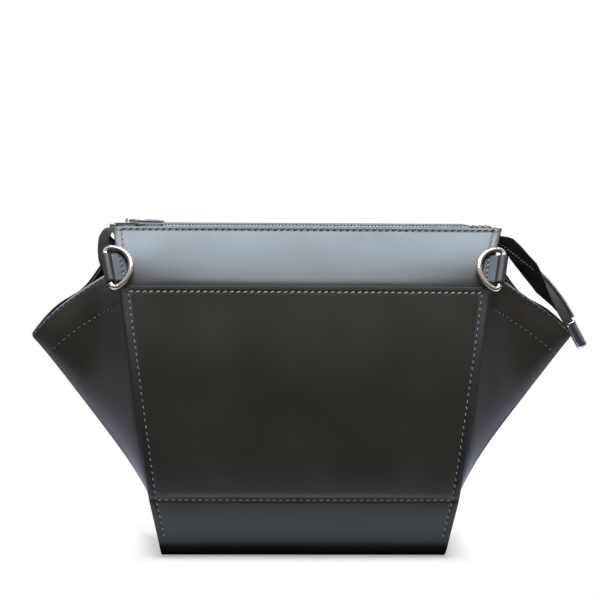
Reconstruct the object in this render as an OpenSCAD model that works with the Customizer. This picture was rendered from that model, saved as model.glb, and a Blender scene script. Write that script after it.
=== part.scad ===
// Small trapeze bag: a leather body whose folded side gussets stand out as wings,
// a zip along the top edge with a free tail, a slip pocket and two D-rings behind.
// Millimetres. The origin is on the floor under the middle of the base. +X points
// to the zip's open end, -Y is the side with the slip pocket, +Z is up.

/* [Panels] */
// Height of the top edge above the floor
panel_h = 196.7; // [194:0.1:205]
// Width of the panels along the top edge
top_w = 236; // [228:1:244]
// Width of the panels at the mouth of the slip pocket
mouth_w = 221; // [214:1:227]
// Width of the panels at the bottom seam of the slip pocket
seam_w = 186; // [180:1:192]
// Width of the base
base_w = 170; // [164:1:175]
// Height of the band above the mouth of the slip pocket
band_h = 33.2; // [30:0.2:37]
// Height of the bottom seam of the slip pocket
seam_h = 36; // [32:1:42]
// Radius of the bend between the base and the walls
corner_r = 9; // [7:0.5:12]

/* [Depth] */
// Depth of the base across its two bends
base_depth = 89; // [84:1:93]
// Depth at the bottom seam of the slip pocket
seam_depth = 91; // [87:1:94]
// Depth at the belly, the fullest height
belly_depth = 94; // [90:1:98]
// Height of the belly
belly_h = 66; // [58:1:76]
// Depth at the shoulder
shoulder_depth = 86.5; // [80:0.5:90]
// Height of the shoulder
shoulder_h = 120; // [112:1:128]
// Depth at the mouth of the slip pocket
mouth_depth = 70; // [64:1:74]
// Distance between the two top edges
top_gap = 16; // [15:0.5:18]
// How far the panels swell in the middle of their width
swell = 3; // [0:0.5:5]
// How far the pocket stands off in the middle of its mouth
pocket_ease = 2; // [0:0.5:3]

/* [Leather] */
// Thickness of the body leather
leather_t = 1.8; // [1.4:0.1:2.2]
// Thickness of the rear panel behind the pocket
rear_t = 1.6; // [1.2:0.1:2]
// Thickness of the gusset leather
gusset_t = 1.6; // [1.6:0.1:2]
// Thickness of the facing inside each rim
facing_t = 1; // [0.8:0.1:1.2]
// Thickness of the lining
lining_t = 0.7; // [0.5:0.1:0.9]
// Thickness of the stiffener in the base
board_t = 1.4; // [1:0.1:1.5]
// Space between two layers that are sewn together
layer_gap = 0.3; // [0.2:0.05:0.35]

/* [Wings] */
// Distance between the two wing tips
wing_span = 329; // [320:1:336]
// How far below the top edge the rims of the gussets leave the panels
rim_gap = 23.2; // [20:0.2:26]
// How far each rim falls from the panel to the tip
rim_drop = 43; // [38:1:46]
// Height at which the fold of the gusset passes the panel's edge
fold_start_h = 38; // [34:1:42]
// Half thickness of the folded wing at its rim
fold_r = 3.2; // [3.2:0.1:4]
// Width of the seam allowance that is sewn behind the panels
flange_w = 9; // [8:0.5:11]
// How far the facing reaches down inside the rim
facing_h = 18; // [15:1:22]

/* [Zip] */
// Width of each zip tape
tape_w = 12.5; // [11.5:0.5:14]
// Thickness of the zip tape
tape_t = 0.8; // [0.6:0.1:0.9]
// How far the tape lies below the top edges
zip_drop = 1.5; // [1.3:0.1:1.8]
// Distance from one tooth of the coil to the next
tooth_pitch = 2.1; // [1.9:0.1:2.5]
// Thickness of the wire that the coil is wound from
tooth_d = 1.5; // [1.2:0.1:1.6]
// Reach of a tooth from the tape's inner edge
tooth_l = 2.7; // [2.4:0.1:3]
// Half of the space between the two rows of teeth
chain_gap = 0.8; // [0.75:0.05:0.95]
// Distance of the left end of the sewn zip from the middle
zip_left = 117; // [114:1:119]
// Distance of the right end of the sewn zip from the middle
zip_right = 104; // [98:1:106]

/* [Slider] */
// Length of the slider
slider_l = 14.4; // [13:0.2:16]
// Width of the slider
slider_w = 10.6; // [10:0.2:11]
// Thickness of the slider's two plates
plate_t = 1.1; // [0.9:0.1:1.3]
// Space between the slider and what runs through it
slide_gap = 0.3; // [0.25:0.05:0.35]
// Length of the pull from its hinge to its tip
pull_l = 21; // [17:1:26]
// Width of the pull
pull_w = 9; // [8:0.5:10]
// Thickness of the pull
pull_t = 1.3; // [1.1:0.1:1.5]

/* [Rings] */
// Inner length of each ring along its bar
ring_inner = 25; // [22:1:28]
// Thickness of the ring wire
ring_wire = 3.2; // [2.8:0.1:3.6]
// Reach of the ring from the middle of its bar to the outside of its bow
ring_reach = 15.7; // [15:0.1:17.5]
// Width of the tab that holds the ring
tab_w = 20; // [16:1:21]
// Thickness of the leather of the tab
tab_t = 1.4; // [1.2:0.1:1.6]
// Distance of the middle of each ring below the top edge
ring_drop = 25.3; // [22:0.1:27]
// Distance of the ring's bar outside the panel's edge
bar_out = 5.6; // [5:0.1:6.5]
// How far the tab reaches onto the panel
tab_reach = 6; // [5:0.5:8]
// Space between the bar and the loop of the tab
bar_gap = 0.1; // [0.05:0.01:0.1]

/* [Tail] */
// How far the tail's coil edge reaches beyond the tip of the wing
tail_past = 2.6; // [1:0.2:4]
// How far above the tip of the wing the tail's coil edge ends
tail_clear = 6.2; // [5:0.2:9]
// Width of the metal cap on the tail
cap_w = 7; // [6.4:0.1:8]
// Length of the metal cap
cap_l = 17.5; // [15:0.5:20]
// Depth of the metal cap from front to back
cap_t = 5.4; // [5:0.1:6]

/* [Hidden] */

// Fineness of round shapes
$fn = 48;
// Steps round the bend of the base and between two stations of the wall
bend_steps = 4;
wall_steps = 3;
// Columns of facets across half a panel and across one wall of a gusset
panel_cols = 4;
gusset_cols = 8;

// Heights that follow from the top edge
mouth_h = panel_h - band_h;
rim_h = panel_h - rim_gap;
ring_h = panel_h - ring_drop;

function mix(a, b, t) = a + (b - a) * t;
function clamp01(t) = min(1, max(0, t));
function smooth(t) = let (s = clamp01(t)) s * s * (3 - 2 * s);
function unit(v) = v / norm(v);

// Point at t, from 0 to 1, on span k of a smooth curve through the points p
function spline(p, k, t) =
  let (
    n = len(p),
    a = k > 0 ? p[k - 1] : 2 * p[0] - p[1],
    b = p[k],
    c = p[k + 1],
    d = k + 2 < n ? p[k + 2] : 2 * p[n - 1] - p[n - 2]
  )
  0.5 * (2 * b + (c - a) * t + (2 * a - 5 * b + 4 * c - d) * t * t
    + (3 * b - a - 3 * c + d) * t * t * t);

// A smooth curve through all the points p, with the same steps on each span
function curve(p, steps) = concat(
  [for (k = [0:len(p) - 2]) for (s = [0:steps - 1]) spline(p, k, s / steps)],
  [p[len(p) - 1]]
);

// The profile: a curve of [distance from the middle plane, height] from the middle
// of the base, round the bend and up the wall to the top edge. It is the inner
// face of the body leather, and every other layer lies a set distance from it.
profile_base_h = leather_t + layer_gap / 2;
bend_d = base_depth / 2 - corner_r;
bend_r = corner_r - profile_base_h;
bend_end = 83;
bend_curve = [
  for (s = [0:bend_steps])
    [
      bend_d + bend_r * sin(bend_end * s / bend_steps),
      corner_r - bend_r * cos(bend_end * s / bend_steps)
    ]
];
wall_stations = [
  bend_curve[bend_steps],
  [seam_depth / 2, seam_h],
  [belly_depth / 2, belly_h],
  [shoulder_depth / 2, shoulder_h],
  [mouth_depth / 2, mouth_h],
];
wall_curve = curve(wall_stations, wall_steps);
band_slope = (mouth_depth - top_gap) / 2 / (panel_h - mouth_h);
band_lean = atan(band_slope);
function band_d(z) = top_gap / 2 + (panel_h - z) * band_slope;
band_mid_h = (rim_h + panel_h) / 2;
profile = concat(
  [[0, profile_base_h]],
  bend_curve,
  [for (k = [1:len(wall_curve) - 1]) wall_curve[k]],
  [for (z = [rim_h, band_mid_h, panel_h]) [band_d(z), z]]
);
i_bend = 1;
i_wall = i_bend + bend_steps;
i_mouth = i_wall + wall_steps * (len(wall_stations) - 1);
i_rim = i_mouth + 1;
i_top = len(profile) - 1;
// The rear panel starts above the bend, and the lining ends below the zip
i_rear_panel = i_wall + 1;
i_lining_top = i_top - 1;

// Outward normal of the profile at point i
function normal(i) =
  let (
    a = profile[max(0, i - 1)],
    b = profile[min(i_top, i + 1)],
    t = unit(b - a)
  )
  i == 0 ? [0, -1] : [t.y, -t.x];

function half_width(z) = lookup(z, [
  [0, base_w / 2],
  [seam_h, seam_w / 2],
  [mouth_h, mouth_w / 2],
  [panel_h, top_w / 2],
]);

// Swell of the panels at u, from -1 to 1 across the width, at height z
function swell_at(u, z) = swell * (1 - u * u) * pow(sin(180 * clamp01(z / panel_h)), 2);

// Point of a panel layer: side is -1 behind and 1 in front, u runs across, i along
// the profile, and off is the distance outward from the profile
function panel_point(side, u, i, off) =
  let (p = profile[i], n = normal(i))
  [
    u * half_width(p.y),
    side * (p.x + swell_at(u, p.y) + off * n.x),
    p.y + off * n.y
  ];

columns = [for (c = [-panel_cols:panel_cols]) c / panel_cols];
function panel_row(side, i, off) = [for (u = columns) panel_point(side, u, i, off)];

// A thin closed solid between two grids of points with the same rows and columns
module sheet(outer, inner) {
  rows = len(outer);
  cols = len(outer[0]);
  half = rows * cols;
  mr = floor(rows / 2);
  mc = floor(cols / 2);
  along = outer[mr][mc] - outer[mr - 1][mc];
  across = outer[mr][mc] - outer[mr][mc - 1];
  turned = cross(along, across) * (outer[mr][mc] - inner[mr][mc]) > 0;
  function id(g, r, c) = g * half + r * cols + c;
  function cell(g, r, c) = [id(g, r, c), id(g, r + 1, c), id(g, r + 1, c + 1), id(g, r, c + 1)];
  function back(q) = [q[3], q[2], q[1], q[0]];
  quads = concat(
    [for (r = [0:rows - 2]) for (c = [0:cols - 2]) cell(0, r, c)],
    [for (r = [0:rows - 2]) for (c = [0:cols - 2]) back(cell(1, r, c))],
    [for (c = [0:cols - 2]) [id(0, 0, c), id(0, 0, c + 1), id(1, 0, c + 1), id(1, 0, c)]],
    [for (c = [0:cols - 2])
      back([id(0, rows - 1, c), id(0, rows - 1, c + 1), id(1, rows - 1, c + 1), id(1, rows - 1, c)])],
    [for (r = [0:rows - 2]) back([id(0, r, 0), id(0, r + 1, 0), id(1, r + 1, 0), id(1, r, 0)])],
    [for (r = [0:rows - 2])
      [id(0, r, cols - 1), id(0, r + 1, cols - 1), id(1, r + 1, cols - 1), id(1, r, cols - 1)]]
  );
  // The diagonal of a cell joins the same two corners on both faces
  function halves(q, k) = k < 1 ? [[q[0], q[1], q[2]], [q[0], q[2], q[3]]]
    : [[q[1], q[2], q[3]], [q[1], q[3], q[0]]];
  cells = (rows - 1) * (cols - 1);
  triangles = [
    for (k = [0:len(quads) - 1])
      each halves(quads[k], k >= cells && k < 2 * cells ? 1 : 0)
  ];
  polyhedron(
    points = [for (g = [outer, inner]) for (row = g) each row],
    faces = turned ? [for (t = triangles) [t[2], t[1], t[0]]] : triangles,
    convexity = 8
  );
}

// How far the pocket front stands off from the rear panel
function ease_off(u, i) =
  pocket_ease * (1 - u * u) * smooth((profile[i].y - seam_h) / (mouth_h - seam_h));

// The pocket front, the base and the front panel are one piece of leather, which
// runs down behind, under the bag and up to the top edge in front
module wrap_panel() {
  function row(side, i, off) = [
    for (u = columns) panel_point(side, u, i, off + (side < 0 ? ease_off(u, i) : 0))
  ];
  function grid(off) = concat(
    [for (i = [i_mouth:-1:0]) row(-1, i, off)],
    [for (i = [1:i_top]) row(1, i, off)]
  );
  color([0.21, 0.21, 0.18])
    sheet(grid(layer_gap / 2 + leather_t), grid(layer_gap / 2));
}

// The rear panel is the upper band that shows and the back wall of the pocket
module rear_panel() {
  function grid(off) = [for (i = [i_rear_panel:i_top]) panel_row(-1, i, off)];
  color([0.25, 0.25, 0.22])
    sheet(grid(-layer_gap / 2), grid(-layer_gap / 2 - rear_t));
}

// Distance inward from the profile at which the gussets' seam allowance starts.
// Behind, it lies under the rear panel as well, from just above the bend.
function stack(side, z) =
  layer_gap / 2 + (side < 0 ? (rear_t + layer_gap) * smooth((z - corner_r) / corner_r) : 0);

// Distance of the fold of a gusset from the middle of the bag at height z
tip_h = rim_h - rim_drop;
fold_inset = 2;
function fold_x(z) = lookup(z, [
  [0, base_w / 2 - 2 * fold_inset],
  [fold_start_h / 2, half_width(fold_start_h / 2) - 2 * fold_inset],
  [fold_start_h, half_width(fold_start_h) + fold_inset],
  [tip_h - 4, wing_span / 2 - fold_inset],
  [tip_h, wing_span / 2],
]);

// Point of a gusset layer: sx is -1 left and 1 right, side is -1 behind and 1 in
// front, u runs from the seam to the fold, i along the profile, and off is the
// distance inward from the leather's outer face. Low down the wall is a flat end,
// and towards the rim it closes to a thin wing beyond a curved mouth.
edge_set = 0.5;
function gusset_point(sx, side, u, i, off) =
  let (
    p = profile[i],
    n = normal(i),
    v = clamp01((p.y - profile_base_h) / (rim_h - profile_base_h)),
    depth = -stack(side, p.y) - off,
    seam_x = half_width(p.y) - edge_set - off * mix(1, 0.35, v),
    seam_y = p.x + depth * n.x,
    seam_z = p.y + depth * n.y,
    fold_z = seam_z - rim_drop * v * v,
    r = fold_r - off,
    roundness = mix(2, 1, smooth(v)),
    hollow = mix(0.5, 4.5, v * v)
  )
  [
    sx * mix(seam_x, fold_x(fold_z) - off, u),
    side * (r * sqrt(max(0, 1 - pow(u, 6)))
      + (seam_y - r) * pow(max(0, 1 - pow(u, roundness)), hollow)),
    mix(seam_z, fold_z, u)
  ];

// Free end of the seam allowance behind the panel
function flange_point(sx, side, i, off) =
  let (
    p = profile[i],
    n = normal(i),
    x = half_width(p.y) - edge_set - flange_w,
    depth = -stack(side, p.y) - off
  )
  [
    sx * x,
    side * (p.x + swell_at(x / half_width(p.y), p.y) + depth * n.x),
    p.y + depth * n.y
  ];

fold_steps = [for (c = [0:gusset_cols]) sin(90 * c / gusset_cols)];
function gusset_row(sx, i, off) = concat(
  [for (u = fold_steps) gusset_point(sx, -1, u, i, off)],
  [for (c = [gusset_cols - 1:-1:0]) gusset_point(sx, 1, fold_steps[c], i, off)]
);

module gusset(sx) {
  function row(i, off) = concat(
    [flange_point(sx, -1, i, off)],
    gusset_row(sx, i, off),
    [flange_point(sx, 1, i, off)]
  );
  // Edge of the seam allowance that lies on the base: the lowest row moved inward
  function base_row(off) =
    let (low = row(i_bend, off), last = len(low) - 1)
    [
      for (c = [0:last])
        let (p = low[c], on_flange = c == 0 || c == last)
        [p.x - (on_flange ? 0 : sx * (flange_w - 1)), p.y * (on_flange ? 0.96 : 0.93), p.z]
    ];
  function grid(off) = concat([base_row(off)], [for (i = [i_bend:i_rim]) row(i, off)]);
  color([0.2, 0.19, 0.16]) sheet(grid(0), grid(gusset_t));
}
module gusset_left() gusset(-1);
module gusset_right() gusset(1);

// The facing covers the last rows of the profile below the rim, at least three
facing_reach = facing_h * 1.6;
near_rim = [for (i = [i_bend:i_rim]) if (profile[i].y > rim_h - facing_reach) i];
i_facing = min(near_rim[0], i_rim - 2);

module gusset_layer(sx, rows, off, t) {
  function grid(o) = [for (i = rows) gusset_row(sx, i, o)];
  sheet(grid(off), grid(off + t));
}

// Leather strip sewn inside each rim, between the rim's two lines of stitches
module rim_facing(sx) {
  color([0.24, 0.23, 0.2])
    gusset_layer(sx, [i_facing:i_rim], gusset_t + layer_gap, facing_t);
}
module rim_facing_left() rim_facing(-1);
module rim_facing_right() rim_facing(1);

// Lining of each gusset, from just above the base to just below the facing
module gusset_lining(sx) {
  color([0.33, 0.3, 0.26])
    gusset_layer(sx, [i_wall:i_facing - 1], gusset_t + layer_gap, lining_t);
}
module lining_left() gusset_lining(-1);
module lining_right() gusset_lining(1);

// Lining of the rear wall, the base and the front wall in one piece. It stops
// short of the gussets' seam allowance at its sides.
module lining_body() {
  function row(side, i, off) = [
    for (u = columns)
      let (
        p = profile[i],
        n = normal(i),
        w = half_width(p.y),
        x = u * (w - edge_set - flange_w - 1),
        depth = -stack(side, p.y) - gusset_t - layer_gap - off
      )
      [x, side * (p.x + swell_at(x / w, p.y) + depth * n.x), p.y + depth * n.y]
  ];
  function grid(off) = concat(
    [for (i = [i_lining_top:-1:0]) row(-1, i, off)],
    [for (i = [1:i_lining_top]) row(1, i, off)]
  );
  color([0.33, 0.3, 0.26]) sheet(grid(0), grid(lining_t));
}

// Stiffener between the base and the lining
board_r = 8;
module base_board() {
  l = base_w - 2 * (2 * fold_inset + flange_w + gusset_t);
  w = 2 * bend_d;
  color([0.55, 0.45, 0.32])
    translate([0, 0, profile_base_h + layer_gap / 2])
      linear_extrude(board_t) {
        square([l - 2 * board_r, w], center = true);
        square([l, w - 2 * board_r], center = true);
        for (x = [-1, 1]) for (y = [-1, 1])
          translate([x * (l / 2 - board_r), y * (w / 2 - board_r)]) circle(board_r);
      }
}

// Height of the upper face of the zip tape
tape_h = panel_h - zip_drop;
// Direction down the slope of the band, and its outward normal
slope_dir = [sin(band_lean), -cos(band_lean)];
slope_out = [cos(band_lean), sin(band_lean)];
// The tape turns down under the leather where its face meets the sewn stretch
function sewn_face(side) = layer_gap / 2 + layer_gap + (side < 0 ? rear_t : 0);
function tape_kink(side) =
  let (
    edge = [top_gap / 2, panel_h] - slope_out * sewn_face(side),
    s = (edge.y - tape_h) / cos(band_lean)
  )
  edge + slope_dir * s;

// Left end of the tapes: beyond the top edges they turn down over the wing's mouth
// and close like a roof, with the coil outward. Points are [x, z] of the coil edge
// from the end of the sewn stretch.
left_turn = [[0, 0], [-5.5, -1.2], [-9.2, -6], [-10.2, -13], [-9.4, -20], [-7, -25.5]];
turn_steps = 3;
turn_path = curve(left_turn, turn_steps);
turn_lean = 62;
turn_w = 9;
// Steps of that path over which the tape leaves the straight stretch's section
turn_ease = 6;

// Direction of a path of [x, z] points at point k
function path_dir(path, k) = unit(path[min(len(path) - 1, k + 1)] - path[max(0, k - 1)]);

// Cross-section of a tape as two legs, from the coil edge to the kink and on to the
// free edge. Angles open from level towards inward, an [x, z] direction, and the
// face lies t inside the outer face.
function tape_row(side, at, inward, angles, widths, t) =
  let (
    half = (angles[1] - angles[0]) / 2,
    mid = angles[0] + half,
    legs = [
      [0, 0],
      widths[0] * [cos(angles[0]), sin(angles[0])],
      widths[0] * [cos(angles[0]), sin(angles[0])]
        + widths[1] * [cos(angles[1]), sin(angles[1])]
    ],
    offsets = [
      t * [-sin(angles[0]), cos(angles[0])],
      t / cos(half) * [-sin(mid), cos(mid)],
      t * [-sin(angles[1]), cos(angles[1])]
    ]
  )
  [
    for (k = [0:2])
      let (q = legs[k] + offsets[k])
      [at.x + inward.x * q.y, side * (chain_gap + q.x), at.y + inward.y * q.y]
  ];

module zip_tape(side) {
  flat_w = tape_kink(side).x - chain_gap;
  slope = 90 - band_lean;
  function sewn_row(x, t) =
    tape_row(side, [x, tape_h], [0, -1], [0, slope], [flat_w, tape_w - flat_w], t);
  // On the turn the free edge of the tape swings round behind the coil edge
  function turn_row(k, t) =
    let (c = turn_path[k], d = path_dir(turn_path, k), q = smooth(k / turn_ease))
    tape_row(
      side, [c.x - zip_left, c.y + tape_h], [-d.y, d.x],
      [mix(0, turn_lean, q), mix(slope, turn_lean + 6, q)],
      [mix(flat_w, turn_w / 2, q), mix(flat_w / 2, turn_w / 2, q)], t
    );
  function grid(t) = concat(
    [sewn_row(zip_right, t), sewn_row(4 - zip_left, t)],
    [for (k = [0:len(turn_path) - 1]) turn_row(k, t)]
  );
  color([0.1, 0.09, 0.1]) sheet(grid(0), grid(tape_t));
}
module zip_tape_rear() zip_tape(-1);
module zip_tape_front() zip_tape(1);

// One row of the coil: the loops of the wire show as a row of round teeth, and the
// cord that runs through them lies along their outer ends
coil_core = 1;
tooth_count = floor((zip_left + zip_right - 4) / tooth_pitch);
module zip_coil(side) {
  y0 = side > 0 ? chain_gap : -chain_gap - tooth_l;
  core_y = side > 0 ? chain_gap + tooth_l - 1.3 : -chain_gap - tooth_l + 0.3;
  color([0.13, 0.12, 0.13])
    translate([-zip_left + 2, 0, tape_h]) {
      translate([0, core_y, 0]) cube([tooth_count * tooth_pitch, coil_core, tooth_d - 0.3]);
      for (k = [0:tooth_count - 1])
        translate([(k + 0.5) * tooth_pitch, y0, tooth_d / 2 + 0.05])
          rotate([-90, 0, 0]) cylinder(d = tooth_d, h = tooth_l, $fn = 24);
    }
}
module zip_coil_rear() zip_coil(-1);
module zip_coil_front() zip_coil(1);

// Metal stops clamped on the ends of the two rows, which hold the slider on
stop_l = 2.6;
stop_x = -zip_left + 1.6 - stop_l;
module zip_top_stops() {
  color([0.78, 0.74, 0.7])
    for (side = [-1, 1])
      translate([stop_x, side > 0 ? chain_gap : -chain_gap - tooth_l, tape_h])
        cube([stop_l, tooth_l, tooth_d + 0.3]);
}

// Slider: two plates round the chain, joined by the web that runs between the rows
slider_x = -zip_left + 2 + slide_gap + slider_l / 2;
chain_top = tape_h + tooth_d + 0.05;
plate_h = chain_top + slide_gap;
plate_top = plate_h + plate_t;
under_h = tape_h - tape_t - slide_gap;
web_half = chain_gap - slide_gap;
bridge_w = 2.4;
bridge_t = 1;
bridge_post = 1.4;
pin_d = pull_t;
pin_h = plate_top + slide_gap + pin_d / 2;
bridge_h = pin_h + pin_d / 2 + slide_gap;
pin_x = slider_x + 1.6;
window_l = pin_d + 2 * slide_gap + 0.6;
module slider_plan(w) {
  r = 2.2;
  square([slider_l - 2 * r, w], center = true);
  square([slider_l, w - 2 * r], center = true);
  for (x = [-1, 1]) for (y = [-1, 1])
    translate([x * (slider_l / 2 - r), y * (w / 2 - r)]) circle(r);
}
module zip_slider() {
  wall_y = chain_gap + tooth_l + slide_gap;
  wall_t = slider_w / 2 - wall_y;
  color([0.75, 0.72, 0.7]) {
    translate([slider_x, 0, plate_h]) linear_extrude(plate_t) slider_plan(slider_w);
    translate([slider_x, 0, under_h - plate_t]) linear_extrude(plate_t) slider_plan(slider_w - 0.6);
    // Rims of the upper plate beside the teeth
    for (side = [-1, 1])
      translate([slider_x - slider_l / 2 + 2.2, side > 0 ? wall_y : -wall_y - wall_t, tape_h + slide_gap])
        cube([slider_l - 4.4, wall_t, plate_h - tape_h]);
    // Web between the rows of teeth
    translate([slider_x - slider_l / 2 + 1.2, -web_half, under_h - plate_t / 2])
      cube([slider_l * 0.45, 2 * web_half, plate_h - under_h + plate_t]);
    // Bridge that holds the pull
    for (x = [pin_x - window_l / 2 - bridge_post, pin_x + window_l / 2])
      translate([x, -bridge_w / 2, plate_h + plate_t / 2])
        cube([bridge_post, bridge_w, bridge_h - plate_h - plate_t / 2 + bridge_t / 4]);
    translate([pin_x - window_l / 2 - bridge_post, 0, bridge_h])
      rotate([0, 90, 0]) intersection() {
        cylinder(r = bridge_w / 2, h = window_l + 2 * bridge_post);
        translate([-bridge_t, -bridge_w, -1]) cube([bridge_t, 2 * bridge_w, window_l + 5]);
      }
  }
}

// Pull: a flat loop whose end bar turns under the bridge of the slider
pull_rest = 1;
// Length of its narrow foot and how much narrower that is on each side, length of
// the slot for the bridge, place of the finger hole and width of the rim round it
pull_foot = 5;
pull_step = 1.2;
pull_slot = 5.6;
hole_from = 9.5;
hole_rim = 2.2;
module zip_pull() {
  foot_w = pull_w - 2 * pull_step;
  slot_w = bridge_w + 2 * slide_gap;
  round_at = pull_l - pull_w / 2;
  color([0.78, 0.74, 0.7])
    translate([pin_x, 0, pin_h]) rotate([0, pull_rest, 0]) {
      rotate([90, 0, 0]) cylinder(d = pin_d, h = foot_w, center = true);
      translate([0, 0, -pull_t / 2]) linear_extrude(pull_t) difference() {
        union() {
          translate([0, -foot_w / 2]) square([pull_foot + 1, foot_w]);
          translate([pull_foot, -pull_w / 2]) square([round_at - pull_foot, pull_w]);
          translate([round_at, 0]) circle(pull_w / 2);
        }
        translate([pin_d / 2, -slot_w / 2]) square([pull_slot, slot_w]);
        translate([-1, -slot_w / 2]) square([1 - pin_d / 2, slot_w]);
        translate([round_at, 0]) circle(pull_w / 2 - hole_rim);
        translate([hole_from, hole_rim - pull_w / 2])
          square([round_at - hole_from, pull_w - 2 * hole_rim]);
      }
    }
}

// The D-rings lie on the band. band_frame puts [0, 0, 0] on the bar of a ring, with
// X towards the middle of the panel, Y up along the panel's edge and Z out of it.
tab_lift = 0.2;
bar_h = ring_wire / 2 + layer_gap + tab_lift;
edge_tilt = atan((half_width(panel_h) - half_width(mouth_h)) / (panel_h - mouth_h) * cos(band_lean));
module band_frame(sx) {
  if (sx > 0) mirror([1, 0, 0]) band_frame(-1) children();
  else
    translate([0, -band_d(ring_h), ring_h])
      rotate([90 - band_lean, 0, 0])
        translate([-half_width(ring_h) - bar_out, 0, bar_h - layer_gap / 2])
          rotate([0, 0, edge_tilt])
            children();
}

// A D-ring: a straight bar, two tight corners and a wide bow, all of one wire. Its
// bow rests on the edge of the slip pocket, which tips the ring off the band.
ring_rest = 13;
ring_corner_r = 3;
ring_half = ring_inner / 2 + ring_wire / 2;
corner_y = ring_half - ring_corner_r;
bow_top = ring_reach - ring_wire / 2;
// Radius of the bow that touches both corner arcs and reaches bow_top
bow_side = bow_top - ring_corner_r;
bow_r = (bow_side * bow_side + corner_y * corner_y - ring_corner_r * ring_corner_r)
  / (2 * (bow_side - ring_corner_r));
bow_x = bow_top - bow_r;
bow_angle = atan2(corner_y, ring_corner_r - bow_x);
// Each stretch of wire stops a little short of the next, inside a ball that is a
// hair thicker than the wire
joint_cut = 0.15;
joint_d = ring_wire + 0.06;
module wire_arc(r, from, to) {
  cut = joint_cut / r * 180 / PI;
  rotate([0, 0, from + cut])
    rotate_extrude(angle = to - from - 2 * cut, $fn = 96)
      translate([r, 0]) circle(d = ring_wire, $fn = 32);
}
module d_ring(sx) {
  color([0.8, 0.72, 0.66]) band_frame(sx) rotate([0, -ring_rest, 0]) {
    rotate([90, 0, 0])
      cylinder(d = ring_wire, h = 2 * (corner_y - joint_cut), center = true);
    for (s = [-1, 1]) {
      translate([ring_corner_r, s * corner_y, 0])
        mirror([0, s > 0 ? 0 : 1, 0]) wire_arc(ring_corner_r, bow_angle, 180);
      translate([0, s * corner_y, 0]) sphere(d = joint_d);
      translate([bow_x + bow_r * cos(bow_angle), s * bow_r * sin(bow_angle), 0])
        sphere(d = joint_d);
    }
    translate([bow_x, 0, 0]) wire_arc(bow_r, -bow_angle, bow_angle);
  }
}
module d_ring_left() d_ring(-1);
module d_ring_right() d_ring(1);

// Leather tab folded round the bar of a ring and sewn flat on the panel
bow_gap = 0.4;
module ring_tab(sx) {
  bore = ring_wire / 2 + bar_gap;
  drop = bar_h - tab_lift;
  color([0.3, 0.3, 0.27]) band_frame(sx)
    difference() {
      union() {
        rotate([90, 0, 0]) cylinder(r = bore + tab_t, h = tab_w, center = true);
        // The sewn end fits inside the bow of the ring
        intersection() {
          translate([0, -tab_w / 2, -drop])
            cube([bar_out + tab_reach, tab_w, 2 * tab_t]);
          translate([bow_x, 0, -drop - 1])
            cylinder(r = bow_r - ring_wire / 2 - bow_gap, h = 2 * tab_t + 2);
        }
      }
      rotate([90, 0, 0]) cylinder(r = bore, h = tab_w + 2, center = true);
    }
}
module ring_tab_left() ring_tab(-1);
module ring_tab_right() ring_tab(1);

// Tail: beyond the panels the zip hangs free over the right wing, as far as the
// wing's tip. The coil edge runs through these points, in shares of the tail's
// reach and fall, measured from the end of the sewn stretch.
tail_gap = 0.6;
tail_reach = wing_span / 2 + tail_past - zip_right - tail_gap;
tail_fall = tape_h - tip_h - tail_clear;
tail_shape = [
  [0, 0.026], [0.128, 0.085], [0.256, 0.197], [0.4, 0.301], [0.544, 0.4],
  [0.688, 0.526], [0.816, 0.684], [0.92, 0.846], [1, 1]
];
tail_steps = 3;
tail_path = curve([for (p = tail_shape) [p.x * tail_reach, -p.y * tail_fall]], tail_steps);
tail_last = len(tail_path) - 1;
function tail_at(k) = [zip_right + tail_gap + tail_path[k].x, tape_h + tail_path[k].y];

// Angle of each half of the tail round the coil edge, from level towards its own
// side, and width of the halves in shares of the tape's, by the share of length.
// The last width fills the slot of the cap.
slot_depth = 3;
slot_wall = 0.7;
cap_fill = (cap_w - 2 * slot_wall) / tape_w;
function tail_angle(side, s) = side < 0
  ? lookup(s, [[0, 58], [0.25, 40], [0.42, 0], [0.6, -55], [0.75, -78], [1, -86]])
  : lookup(s, [[0, -50], [0.2, -58], [0.4, -74], [0.6, -84], [1, -86]]);
function tail_share(side, s) = side < 0
  ? lookup(s, [[0, 0.4], [0.25, 0.56], [0.45, 0.72], [0.65, 0.76], [0.85, 0.656], [1, cap_fill]])
  : lookup(s, [[0, 0.32], [0.2, 0.48], [0.4, 0.76], [0.6, 0.832], [0.8, 0.672], [1, cap_fill]]);
tail_split = 0.8;
module tail_tape(side) {
  function row(k, t) =
    let (
      s = k / tail_last,
      c = tail_at(k),
      d = path_dir(tail_path, k),
      up = [-d.y, d.x],
      a = tail_angle(side, s),
      w = tape_w * tail_share(side, s)
    )
    [
      for (f = [0, 0.5, 1])
        [
          c.x + up.x * (f * w * sin(a) - t * cos(a)),
          side * (tail_split + f * w * cos(a) + t * sin(a)),
          c.y + up.y * (f * w * sin(a) - t * cos(a))
        ]
    ];
  color([0.14, 0.13, 0.14])
    sheet([for (k = [0:tail_last]) row(k, 0)], [for (k = [0:tail_last]) row(k, tape_t)]);
}
module tail_tape_rear() tail_tape(-1);
module tail_tape_front() tail_tape(1);

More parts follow.
